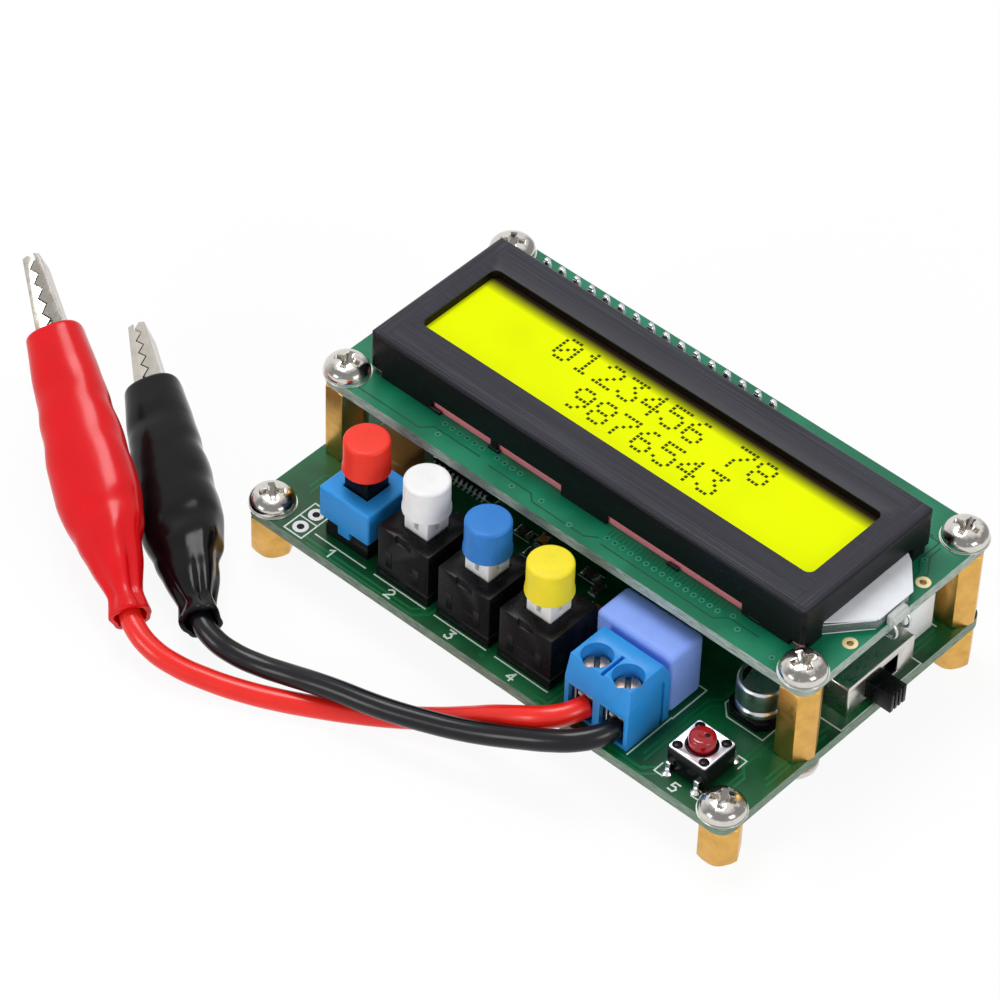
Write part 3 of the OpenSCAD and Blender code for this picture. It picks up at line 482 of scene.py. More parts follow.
@dataclass(frozen=True)
class Enamel(Finish):
    """Black enamel on folded sheet, with fine lines that run round the frame and painted shade on
    its walls.
    """

    half: float = 33.0
    middle: float = 5.7
    reach: float = 9.0

    def dress(self, shader: Shader) -> None:
        """Score faint lines along each side, and paint shade on the walls so that they are darker
        than the face.

        Args:
            shader: the nodes to add it to.
        """
        place = shader.place()
        ends = abs(shader.part(place, 0)).band(self.half * MM, (self.half + 0.4) * MM)
        wide = shader.noise(0.22, 2, (0.012, 1, 1))
        deep = shader.noise(0.22, 2, (1, 0.02, 1))
        lines = wide * (1 - ends) + deep * ends
        rim = abs(shader.part(place, 1) - self.middle * MM).band(
            self.reach * MM, (self.reach + 1.2) * MM
        )
        cloud = shader.noise(5, 3)
        specks = shader.noise(0.25, 1).band(0.72, 0.78)
        scored = lines.band(0.46, 0.62) * (rim * 0.6 + 0.4)
        tone = shader.blend(shade(self.colour, 0.72), shade(self.colour, 1.25), scored)
        # Painted shade: faces that are not level fall to a tenth of the colour.
        tone = shader.blend(shade(self.colour, 0.1), tone, shader.facing(2).band(0.35, 0.95))
        shader.dress(
            Base_Color=shader.blend(tone, tint(120, 120, 128), specks * 0.25),
            Roughness=cloud * 0.1 + scored * 0.1 + (self.rough - 0.1),
        )
        shader.relief(lines, 0.006)


@dataclass(frozen=True)
class Glow(Finish):
    """The lit face of the display, with the frame's shadow painted dark next to the frame."""

    strength: float = 0.5
    # dark is the colour of the painted shadow; left, right, front and rear say where it fades in,
    # in millimetres.
    dark: Colour = (0.02, 0.01, 0.006)
    left: Flat = (-32.5, -31.2)
    right: Flat = (32.6, 31.4)
    front: Flat = (-1.9, -1.0)
    rear: Flat = (12.3, 10.2)

    def dress(self, shader: Shader) -> None:
        """Light the face from its own colour and let it fade into a painted shadow at the frame.

        Args:
            shader: the nodes to add it to.
        """
        place = shader.place()
        across = shader.part(place, 0)
        deep = shader.part(place, 1)
        # fade is 0 in the painted shadow at the frame and 1 on the open face.
        fade = across.band(self.left[0] * MM, self.left[1] * MM)
        fade = fade * across.band(self.right[0] * MM, self.right[1] * MM)
        fade = fade * deep.band(self.front[0] * MM, self.front[1] * MM)
        fade = fade * deep.band(self.rear[0] * MM, self.rear[1] * MM) ** 1.4
        cloud = shader.noise(9, 2)
        tone = shader.blend(self.dark, self.colour, fade * (cloud * 0.1 + 0.95))
        shader.dress(
            Base_Color=shader.blend((0.0, 0.0, 0.0), tone, cloud * 0.1 + 0.45),
            Emission_Color=tone,
            Emission_Strength=self.strength,
            Roughness=cloud * 0.05 + self.rough,
        )


class Finishes:
    """Every finish of the tester."""

    MAIN_BOARD = Laminate(
        "main board mask", "board_green", tint(0, 66, 32), rough=0.34, gloss=0.35,
        copper=tint(4, 92, 48), edge=tint(128, 150, 132),
    )
    DISPLAY_BOARD = Laminate(
        "display board mask", "board_teal", tint(4, 108, 76), rough=0.34, gloss=0.35,
        copper=tint(14, 128, 92), edge=tint(170, 186, 176),
    )
    TRACK = Plastic("track under mask", "board_green", tint(10, 106, 58), rough=0.34, relief=0.002)
    DARK_TRACK = Plastic("gap in copper", "board_teal", tint(2, 74, 52), rough=0.4, relief=0.002)
    PALE_COPPER = Plastic(
        "copper under mask", "board_teal", tint(52, 142, 112), rough=0.34, relief=0.002,
    )
    PRINT = Plastic("white print", "board_green", tint(214, 226, 216), rough=0.6, relief=0.006)
    PLATED_RIM = Metal("plated hole rim", "brass", tint(226, 206, 160), rough=0.4, stain=0.4)
    TINNED_RIM = Metal("tinned hole rim", "solder", tint(206, 208, 204), rough=0.36, stain=0.4)
    BRASS = Metal(
        "turned brass", "brass", tint(226, 176, 94), rough=0.34, gloss=0.5, stretch=(1, 1, 0.06),
        stain=0.5, relief=0.008,
    )
    # Its depth paints dark reflections on sloping faces of the screws and the pins.
    NICKEL = Metal(
        "bright nickel", "nickel", tint(216, 212, 206), rough=0.16, gloss=0.5, stretch=(1, 1, 0.3),
        stain=0.25, relief=0.002, line=0.12, depth=0.72,
    )
    # Its depth paints dark reflections on the jaws' sloping faces.
    JAW_NICKEL = Metal(
        "satin nickel", "nickel", tint(202, 196, 186), rough=0.24, gloss=0.5, stretch=(0.2, 1, 1),
        stain=0.4, relief=0.004, line=0.12, depth=0.5,
    )
    SHELL_NICKEL = Metal(
        "rolled nickel", "nickel", tint(214, 210, 204), rough=0.3, gloss=0.5, stretch=(1, 0.08, 1),
        stain=0.3, relief=0.004,
    )
    TIN = Metal(
        "bright tin", "tin_plate", tint(222, 220, 228), rough=0.42, gloss=0.5, stretch=(0.1, 1, 1),
        stain=0.15, relief=0.003,
    )
    SOLDER = Metal("bright solder", "solder", tint(206, 208, 212), rough=0.24, stain=0.35)
    ALUMINIUM = Metal(
        "drawn aluminium", "can_aluminium", tint(206, 210, 216), rough=0.32, gloss=0.5,
        stretch=(1, 1, 5), stain=0.2, relief=0.002,
    )
    COPPER = Metal(
        "coppered steel", "copper_plate", tint(206, 172, 148), rough=0.26, gloss=0.5,
        stretch=(0.2, 1, 1), stain=0.4,
    )
    GOLD = Metal(
        "gilt pins", "gold_plate", tint(224, 188, 96), rough=0.28, gloss=0.5, stretch=(1, 1, 0.2),
    )
    SPRING = Metal("spring wire", "spring_steel", tint(140, 140, 142), rough=0.3)
    # The enamel paints shade on the bezel's walls.
    BEZEL = Enamel("brushed black enamel", "black_metal", tint(58, 58, 66), rough=0.42, gloss=0.14)
    # Painted shade: the window's inner wall is near-black brown rather than the enamel's colour,
    # for the shade inside the window.
    PAINTED_SHADE_WALL = Plastic("painted shade inner edge", "black_metal", tint(16, 10, 8), rough=0.5, gloss=0.1)
    # The screen's edges carry the frame's painted shadow.
    SCREEN = Glow("lit screen", "screen", tint(238, 252, 0), rough=0.4, gloss=0.04, strength=0.5)
    GLASS_EDGE = Plastic("glass edge", "screen", tint(34, 28, 20), rough=0.3)
    INK = Plastic("dark cells", "screen", tint(66, 74, 0), rough=0.4, gloss=0.04)
    GUIDE = Clear(
        "clear guide", "clear_plastic", tint(216, 242, 238), rough=0.04, gloss=0.5, ior=1.45,
        through=0.8,
    )
    FILM = Plastic(
        "white film", "white_film", tint(240, 243, 250), rough=0.5, gloss=0.2, relief=0.002,
    )
    LAMP = Clear(
        "lamp body", "lamp", tint(242, 246, 242), rough=0.06, gloss=0.5, ior=1.45, through=0.6,
    )
    PINK = Plastic(
        "pink rubber", "pink_rubber", tint(232, 136, 146), rough=0.6, gloss=0.15, glow=0.2,
    )
    RESIN = Plastic(
        "black resin", "black_resin", tint(16, 17, 19), rough=0.4, gloss=0.12, relief=0.01,
    )
    BLACK = Plastic(
        "black moulding", "black_plastic", tint(17, 17, 19), rough=0.26, gloss=0.12, relief=0.006,
    )
    DEEP_BLACK = Plastic(
        "deep black moulding", "black_plastic", tint(10, 10, 13), rough=0.24, gloss=0.14,
    )
    COVER_BLUE = Plastic(
        "light blue moulding", "blue_plastic", tint(46, 150, 228), rough=0.36, gloss=0.25,
        glow=0.12,
    )
    BLOCK_BLUE = Plastic(
        "clear blue moulding", "blue_plastic", tint(46, 148, 226), rough=0.34, gloss=0.25,
        glow=0.12,
    )
    WHITE = Plastic("white moulding", "white_plastic", tint(244, 244, 244), rough=0.4, glow=0.15)
    RED_CAP = Plastic(
        "red cap", "red_plastic", tint(246, 58, 42), rough=0.36, gloss=0.25, glow=0.12,
    )
    BLUE_CAP = Plastic(
        "blue cap", "sky_plastic", tint(46, 126, 206), rough=0.36, gloss=0.25, glow=0.08,
    )
    YELLOW_CAP = Plastic(
        "yellow cap", "yellow_plastic", tint(250, 228, 44), rough=0.36, gloss=0.25, glow=0.12,
    )
    RED_CLEAR = Clear(
        "clear red", "clear_red_plastic", tint(206, 14, 28), rough=0.08, gloss=0.5, ior=1.49,
        through=0.45,
    )
    FILM_BLUE = Plastic(
        "periwinkle case", "periwinkle_resin", tint(136, 168, 248), rough=0.42, gloss=0.2,
        glow=0.12,
    )
    BROWN = Plastic("brown case", "brown_resin", tint(168, 118, 62), rough=0.4)
    CHIP = Plastic("chip ceramic", "chip_parts", tint(62, 52, 46), rough=0.5)
    RED_WIRE = Vinyl(
        "red lead vinyl", "red_wire", tint(238, 34, 24), rough=0.3, gloss=0.35, grain=0.6,
        depth=0.01, coat=0.15, soft=0.08,
    )
    BLACK_WIRE = Vinyl(
        "black lead vinyl", "black_wire", tint(16, 16, 21), rough=0.24, gloss=0.25, grain=0.6,
        depth=0.01, coat=0.05, soft=0.0,
    )
    RED_BOOT = Vinyl(
        "red boot vinyl", "red_vinyl", tint(220, 5, 18), rough=0.24, gloss=0.22, grain=1.2,
        depth=0.08, coat=0.1, soft=0.05,
    )
    BLACK_BOOT = Vinyl(
        "black boot vinyl", "black_vinyl", tint(8, 8, 11), rough=0.16, gloss=0.15, grain=1.2,
        depth=0.1, coat=0.03, soft=0.0,
    )


# ----------------------------------------------------------------------------- geometry


class Axis(Enum):
    """The axis that a shape is turned or drawn along."""

    Y = 1
    Z = 2


def along(axis: Axis, across: float, over: float, height: float) -> Point:
    """Place a point of a profile that runs along an axis.

    Args:
        axis: the axis of the height.
        across: first coordinate in the profile's plane.
        over: second coordinate in the profile's plane.
        height: distance along the axis.

    Returns:
        The point.
    """
    if axis is Axis.Y:
        return across, height, over
    return across, over, height


def soft_rectangle(width: float, depth: float, radius: float, steps: int = 6) -> list[Flat]:
    """Outline of a centred rectangle with round corners.

    Args:
        width: its size in the first direction.
        depth: its size in the second direction.
        radius: radius of the corners.
        steps: pieces of each corner's arc.

    Returns:
        The outline's points, in order.
    """
    outline = []
    for quarter, (right, up) in enumerate(((1, 1), (-1, 1), (-1, -1), (1, -1))):
        for step in range(steps + 1):
            angle = math.pi / 2 * (quarter + step / steps)
            across = right * (width / 2 - radius) + radius * math.cos(angle)
            outline.append((across, up * (depth / 2 - radius) + radius * math.sin(angle)))
    return outline


def circle(radius: float, sides: int, middle: Flat = (0.0, 0.0)) -> list[Flat]:
    """Points round a circle.

    Args:
        radius: its radius.
        sides: how many points.
        middle: its middle.

    Returns:
        The points, in order.
    """
    angles = (2 * math.pi * step / sides for step in range(sides))
    return [
        (middle[0] + radius * math.cos(angle), middle[1] + radius * math.sin(angle))
        for angle in angles
    ]


class Model:
    """One piece of geometry, built up in millimetres."""

    def __init__(self, name: str) -> None:
        """Start an empty piece.

        Args:
            name: the piece's name.
        """
        self.name = name
        self.mesh = bmesh.new()
        self.finish = 0
        self.layer = 0

    @classmethod
    def from_node(cls, name: str, node: str, bevel: float = 0.0, segments: int = 2) -> "Model":
        """Copy a solid of the frame and round its edges.

        Args:
            name: the new piece's name.
            node: the solid's name.
            bevel: width of the rounding in millimetres.
            segments: steps of the rounding.

        Returns:
            The copy.
        """
        model = cls(name)
        model.mesh.from_mesh(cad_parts[node].data)
        bmesh.ops.scale(model.mesh, vec=(1 / MM,) * 3, verts=model.mesh.verts)
        bmesh.ops.remove_doubles(model.mesh, verts=model.mesh.verts, dist=WELD)
        bmesh.ops.dissolve_limit(
            model.mesh, angle_limit=math.radians(FLAT_ANGLE),
            verts=model.mesh.verts, edges=model.mesh.edges,
        )
        for face in model.mesh.faces:
            face.material_index = 0
        if bevel:
            model.bevel(bevel, segments)
        return model

    def face(self, corners: Sequence[bmesh.types.BMVert]) -> Optional[bmesh.types.BMFace]:
        """Add a face in the current finish, unless its corners fall together.

        Args:
            corners: its corners, in order.

        Returns:
            The face, or None.
        """
        if len(set(corners)) < 3:
            return None
        face = self.mesh.faces.new([c for i, c in enumerate(corners) if c not in corners[:i]])
        face.material_index = self.finish
        return face

    def loft(self, rings: Sequence[Sequence[Point]], looped: bool = False) -> None:
        """Join rings of points with faces, and close the ends.

        Args:
            rings: rings with equal numbers of points; a ring of one point is a pole.
            looped: whether the last ring joins the first, which leaves no ends.
        """
        made = [[self.mesh.verts.new(point) for point in ring] for ring in rings]
        count = max(len(ring) for ring in made)
        pairs = list(zip(made, made[1:])) + ([(made[-1], made[0])] if looped else [])
        for first, second in pairs:
            for index in range(count):
                following = (index + 1) % count
                self.face([
                    first[index % len(first)], first[following % len(first)],
                    second[following % len(second)], second[index % len(second)],
                ])
        if not looped:
            for ring in (made[0], made[-1]):
                if len(ring) > 2:
                    self.face(ring)

    def prism(self, outline: Sequence[Flat], low: float, high: float, axis: Axis = Axis.Z) -> None:
        """Draw an outline along an axis.

        Args:
            outline: the outline's points, in order.
            low: where it starts.
            high: where it ends.
            axis: the axis it is drawn along.
        """
        self.loft([[along(axis, *point, height) for point in outline] for height in (low, high)])

    def box(self, low: Point, high: Point) -> None:
        """Add a box from its lowest to its highest corner."""
        outline = [(low[0], low[1]), (high[0], low[1]), (high[0], high[1]), (low[0], high[1])]
        self.prism(outline, low[2], high[2])

    def lathe(
        self,
        profile: Sequence[Flat],
        centre: Point = (0, 0, 0),
        axis: Axis = Axis.Z,
        sides: int = 32,
    ) -> None:
        """Turn a profile about an axis.

        Args:
            profile: radius and height of each point, in order.
            centre: where the axis and the profile's zero height meet.
            axis: the axis.
            sides: steps of a full turn.
        """
        rings = []
        for radius, height in profile:
            places = [along(axis, *point, height) for point in circle(radius, sides)]
            ring = [tuple(a + b for a, b in zip(place, centre)) for place in places]
            rings.append(ring[:1] if radius < 1e-6 else ring)
        self.loft(rings)

    def tube(self, path: Sequence[Point], radius: float, sides: int = 12) -> None:
        """Run a round bar along a path.

        Args:
            path: the points of its middle line.
            radius: its radius.
            sides: steps round it.
        """
        points = [Vector(point) for point in path]
        rings = []
        side = None
        for index, point in enumerate(points):
            ahead = points[min(index + 1, len(points) - 1)]
            run = (ahead - points[max(index - 1, 0)]).normalized()
            if side is None:
                start = Vector((0, 0, 1)) if abs(run.z) < 0.9 else Vector((1, 0, 0))
                side = run.cross(start).normalized()
            side = (side - run * side.dot(run)).normalized()
            up = run.cross(side)
            rings.append([tuple(point + a * side + b * up) for a, b in circle(radius, sides)])
        self.loft(rings)

    def stroke(self, path: Sequence[Flat], width: float, low: float) -> None:
        """Lay a flat line of one width along straight runs.

        Neighbours get slightly different heights, so that crossings don't flicker.

        Args:
            path: its corners.
            width: its width.
            low: the height it lies at.
        """
        for start, end in zip(path, path[1:]):
            run = Vector((end[0] - start[0], end[1] - start[1]))
            if run.length < 1e-6:
                continue
            run.normalize()
            side = Vector((-run.y, run.x)) * width / 2
            head = run * width / 2
            a, b = Vector(start) - head, Vector(end) + head
            outline = [tuple(a + side), tuple(a - side), tuple(b - side), tuple(b + side)]
            self.layer = (self.layer + 1) % PRINT_LAYERS
            self.prism(outline, low, low + PRINT_THICK + PRINT_STEP * self.layer)

    def washer(
        self, centre: Flat, inner: float, outer: float, low: float, thick: float, sides: int = 20
    ) -> None:
        """Add a flat ring.

        Args:
            centre: its middle.
            inner: radius of its hole.
            outer: its radius.
            low: the height it lies at.
            thick: its thickness.
            sides: steps round it.
        """
        high = low + thick
        self.loft([
            [(*point, height) for point in circle(radius, sides, centre)]
            for radius, height in ((inner, low), (inner, high), (outer, high), (outer, low))
        ], looped=True)

    def join(self, other: "Model", matrix: Matrix = Matrix.Identity(4)) -> None:
        """Take in a copy of another model.

        Args:
            other: the model.
            matrix: the move it gets.
        """
        copy = other.mesh.copy()
        bmesh.ops.transform(copy, matrix=matrix, verts=copy.verts)
        for face in copy.faces:
            face.material_index += self.finish
        carrier = bpy.data.meshes.new("carrier")
        copy.to_mesh(carrier)
        self.mesh.from_mesh(carrier)
        bpy.data.meshes.remove(carrier)
        copy.free()

    def turn(self, matrix: Matrix) -> "Model":
        """Move everything by a matrix and hand the model on."""
        bmesh.ops.transform(self.mesh, matrix=matrix, verts=self.mesh.verts)
        return self

    def bevel(self, width: float, segments: int = 2, angle: float = 28) -> None:
        """Round the edges that are sharper than an angle.

        Args:
            width: width of the rounding.
            segments: its steps.
            angle: the least angle between two faces, in degrees.
        """
        bmesh.ops.recalc_face_normals(self.mesh, faces=self.mesh.faces)
        sharp = [
            edge for edge in self.mesh.edges
            if len(edge.link_faces) == 2 and edge.calc_face_angle(0) > math.radians(angle)
        ]
        bmesh.ops.bevel(
            self.mesh, geom=sharp, offset=width, segments=segments, profile=0.5,
            affect="EDGES", clamp_overlap=True,
        )

    def cut(self, tool: "Model") -> None:
        """Take another model's volume away from this one.

        Args:
            tool: the model whose volume goes.
        """
        objects = []
        for model in (self, tool):
            bmesh.ops.recalc_face_normals(model.mesh, faces=model.mesh.faces)
            mesh = bpy.data.meshes.new("workpiece")
            model.mesh.to_mesh(mesh)
            thing = bpy.data.objects.new("workpiece", mesh)
            bpy.context.scene.collection.objects.link(thing)
            objects.append(thing)
        change = objects[0].modifiers.new("cut", "BOOLEAN")
        change.operation = "DIFFERENCE"
        change.solver = "EXACT"
        change.object = objects[1]
        change.use_self = True
        ready = objects[0].evaluated_get(bpy.context.evaluated_depsgraph_get())
        self.mesh.free()
        self.mesh = bmesh.new()
        self.mesh.from_mesh(ready.to_mesh())
        ready.to_mesh_clear()
        for thing in objects:
            mesh = thing.data
            bpy.data.objects.remove(thing)
            bpy.data.meshes.remove(mesh)

    def piece(
        self,
        finishes: Sequence[Finish],
        body: Optional[str] = "tester",
        replaces: Sequence[str] = (),
        smooth: float = 38.0,
    ) -> bpy.types.Object:
        """Make the object, and let it ride and stand for its solids.

        Args:
            finishes: the finishes of its faces, by their index.
            body: the body it moves with, or None for a piece that is attached to no body.
            replaces: the solids that it stands for.
            smooth: edges sharper than this angle stay sharp, in degrees.

        Returns:
            The object.
        """
        bmesh.ops.recalc_face_normals(self.mesh, faces=self.mesh.faces)
        bmesh.ops.scale(self.mesh, vec=(MM,) * 3, verts=self.mesh.verts)
        mesh = bpy.data.meshes.new(self.name)
        self.mesh.to_mesh(mesh)
        self.mesh.free()
        for finish in finishes:
            mesh.materials.append(finish.material())
        mesh.shade_smooth()
        mesh.set_sharp_from_angle(angle=math.radians(smooth))
        thing = bpy.data.objects.new(self.name, mesh)
        bpy.context.scene.collection.objects.link(thing)
        if body:
            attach(thing, body)
        if replaces:
            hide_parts(*replaces)
        LOG.info("%s: %d faces, moves with %s", self.name, len(mesh.polygons), body or "two bodies")
        return thing


def rounded(
    name: str,
    node: str,
    finish: Finish,
    bevel: float,
    body: str = "tester",
    smooth: float = 34.0,
) -> bpy.types.Object:
    """Make a solid of the frame again, with round edges, to stand for it.

    Args:
        name: the new piece's name.
        node: the solid's name.
        finish: its finish.
        bevel: width of the rounding in millimetres.
        body: the body it moves with.
        smooth: edges sharper than this angle stay sharp, in degrees.

    Returns:
        The object.
    """
    return Model.from_node(name, node, bevel).piece([finish], body, [node], smooth)


def dress(node: str, finish: Finish) -> None:
    """Give a solid of the frame its finish.

    Args:
        node: the solid's name.
        finish: its finish.
    """
    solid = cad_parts[node]
    solid.data.materials.clear()
    solid.data.materials.append(finish.material())
    LOG.info("%s: kept, with %s", node, finish.name)


# ----------------------------------------------------------------------------- studio


@dataclass
class Studio:
    """White room with soft lamps and the camera."""

    eye: Point = (0.270296, -0.333219, 0.447490)
    azimuth: float = 40.940
    elevation: float = 45.106
    roll: float = 1.955
    lens: float = 175.94
    sensor: float = 36.0
    ambient: float = 0.34
    backdrop: float = 0.92
    reach: float = 4.0
    aim: Point = (-0.01, -0.01, 0.01)

    def build(self) -> None:
        """Make the camera, the floor, the lamps and the world."""
        self.camera()
        self.floor()
        self.lamp("key lamp", (-0.3, 0.12, 0.88), 0.38, 4.4)
        self.lamp("side lamp", (0.8, -0.05, 0.5), 0.34, 2.4)
        self.lamp("front lamp", (-0.25, -0.9, 0.42), 0.34, 2.6)
        self.world()

    def camera(self) -> None:
        """Place the camera from its direction, its roll and its lens."""
        azimuth, elevation, roll = (
            math.radians(angle) for angle in (self.azimuth, self.elevation, self.roll)
        )
        ahead = Vector((
            -math.sin(azimuth) * math.cos(elevation),
            math.cos(azimuth) * math.cos(elevation),
            -math.sin(elevation),
        ))
        right = Vector((math.cos(azimuth), math.sin(azimuth), 0))
        above = right.cross(ahead)
        turned_right = math.cos(roll) * right + math.sin(roll) * above
        turned_up = math.cos(roll) * above - math.sin(roll) * right
        place = Matrix((turned_right, turned_up, -ahead)).transposed().to_4x4()
        place.translation = Vector(self.eye)
        data = bpy.data.cameras.new("camera")
        data.lens = self.lens
        data.sensor_width = self.sensor
        data.clip_start = 0.01
        camera = bpy.data.objects.new("camera", data)
        camera.matrix_world = place
        bpy.context.scene.collection.objects.link(camera)
        bpy.context.scene.camera = camera
        bpy.context.scene.view_settings.view_transform = "Standard"

    def lamp(self, name: str, place: Point, size: float, power: float) -> None:
        """Add a square soft lamp that faces the tester.

        Args:
            name: its name.
            place: its place, in metres.
            size: its side, in metres.
            power: its power in watts.
        """
        data = bpy.data.lights.new(name, "AREA")
        data.size = size
        data.energy = power
        lamp = bpy.data.objects.new(name, data)
        lamp.location = place
        way = Vector(self.aim) - Vector(place)
        lamp.rotation_euler = way.to_track_quat("-Z", "Y").to_euler()
        bpy.context.scene.collection.objects.link(lamp)

    def seen(self, graph: Graph) -> Wire:
        """Share of rays that see the backdrop itself: straight, mirrored or through glass.

        Args:
            graph: the nodes to add it to.

        Returns:
            1 for such a ray, or else 0.
        """
        rays = [graph.add("ShaderNodeLightPath", output=name) for name in (
            "Is Camera Ray", "Is Glossy Ray", "Is Transmission Ray"
        )]
        return rays[0].maths("MAXIMUM", rays[1]).maths("MAXIMUM", rays[2])

    def floor(self) -> None:
        """Lay a wide white floor that keeps a faint shadow."""
        shader = Shader("white floor")
        shader.dress(Base_Color=tint(250, 250, 250), Roughness=0.8)
        white = shader.add("ShaderNodeEmission", None, {"Color": (1.0, 1.0, 1.0), "Strength": 1.0})
        share = self.seen(shader) * self.backdrop
        mixed = shader.add(
            "ShaderNodeMixShader", None,
            {0: share, 1: Wire(shader, shader.surface.outputs[0]), 2: white},
        )
        shader.join(mixed, shader.output.inputs[0])
        mesh = bpy.data.meshes.new("floor")
        far = self.reach
        corners = [(-far, -far, 0), (far, -far, 0), (far, far, 0), (-far, far, 0)]
        mesh.from_pydata(corners, [], [(0, 1, 2, 3)])
        mesh.materials.append(shader.material)
        floor = bpy.data.objects.new("floor", mesh)
        bpy.context.scene.collection.objects.link(floor)

    def world(self) -> None:
        """Light the room evenly, and let it look white."""
        world = bpy.data.worlds.new("white room")
        world.use_nodes = True
        graph = Graph(world.node_tree)
        white = (1.0, 1.0, 1.0)
        light = graph.add("ShaderNodeBackground", None, {"Color": white, "Strength": self.ambient})
        bright = graph.add("ShaderNodeBackground", None, {"Color": white, "Strength": 1.0})
        mixed = graph.add("ShaderNodeMixShader", None, {0: self.seen(graph), 1: light, 2: bright})
        graph.join(mixed, graph.tree.nodes.new("ShaderNodeOutputWorld").inputs[0])
        bpy.context.scene.world = world


# ----------------------------------------------------------------------------- leads


@dataclass
class Lead:
    """One lead, from the terminal to the clip's barrel."""

    name: str
    node: str
    finish: Finish
    pole: float
    length: float
    route: Sequence[Point]
    radius: float = 1.45
    thing: Optional[bpy.types.Object] = None

    def build(self) -> None:
        """Draw the lead along its route, and its stripped end inside the terminal."""
        curve = bpy.data.curves.new(self.name, "CURVE")
        curve.dimensions = "3D"
        curve.bevel_depth = self.radius * MM
        curve.bevel_resolution = 7
        curve.resolution_u = 10
        curve.use_fill_caps = True
        spline = curve.splines.new("BEZIER")
        spline.bezier_points.add(len(self.route) - 1)
        for knot, point in zip(spline.bezier_points, self.route):
            knot.co = tuple(value * MM for value in point)
            knot.handle_left_type = knot.handle_right_type = "AUTO"
        curve.materials.append(self.finish.material())
        self.thing = bpy.data.objects.new(self.name, curve)
        bpy.context.scene.collection.objects.link(self.thing)
        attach(self.thing, "tester")
        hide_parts(self.node)
        strands = Model(self.name + "_strands")
        for x, z in circle(0.34, 6, (self.pole, 10.0)) + [(self.pole, 10.0)]:
            strands.tube([(x, -22.9, z), (x, -18.7, z)], 0.19, 8)
        strands.piece([Finishes.COPPER])

    def declare(self, pieces: Sequence[bpy.types.Object]) -> None:
        """Work out the lead's first point and its thickness in metres, and keep neither.

        Args:
            pieces: not used.
        """
        tuple(value * MM for value in self.route[0])
        2 * self.radius * MM


# The middle lines of the two leads, from the terminal to the barrels, in millimetres.
RED_ROUTE: list[Point] = [
    (16, -22.8, 10), (15.2, -25.3, 10), (13.3, -27.4, 9.6), (10.4, -28.7, 8.5),
    (7, -29.4, 6.6), (3.6, -30.3, 4.5), (0, -31.8, 2.8), (-4, -34.1, 1.8),
    (-8.4, -37, 1.5), (-12.8, -39.8, 1.5), (-17.4, -42.4, 1.5), (-21.8, -44.6, 1.7),
    (-25.8, -46.3, 2.1), (-29.4, -47.6, 2.7), (-33, -48.3, 3.6), (-36.6, -47.8, 4.6),
    (-39.8, -46.1, 5.5), (-43.6, -43.7, 6.4), (-47.6, -41.2, 7.5),
]
BLACK_ROUTE: list[Point] = [
    (21, -22.8, 10), (20.4, -25.3, 10), (18.6, -27.7, 9.7), (15.8, -29.5, 9),
    (12.4, -30.9, 8), (8.8, -32.3, 7), (5, -33.8, 6.3), (1.2, -35.2, 5.9),
    (-2.6, -36.5, 5.6), (-6.4, -37.6, 5.4), (-10.2, -38.4, 5.1), (-14, -39.2, 4.6),
    (-17.8, -40, 3.9), (-21.4, -41, 3.6), (-24.8, -42, 3.9), (-28, -42.5, 4.7),
    (-31, -41.8, 5.4), (-34.2, -39.5, 5.5), (-37, -37.4, 5.3), (-40, -35.1, 5.1),
]


# ----------------------------------------------------------------------------- clips


# The boot's distance from its tail, half width and half height, in millimetres.
STATIONS: list[Point] = [
    (0, 2.75, 2.7), (3, 2.4, 2.3), (8, 3.6, 3.1), (13, 4.9, 3.8), (18, 5.5, 4.0),
    (24, 5.45, 4.0), (30, 5.0, 3.8), (36, 4.5, 3.5), (43.5, 3.8, 3.2),
]


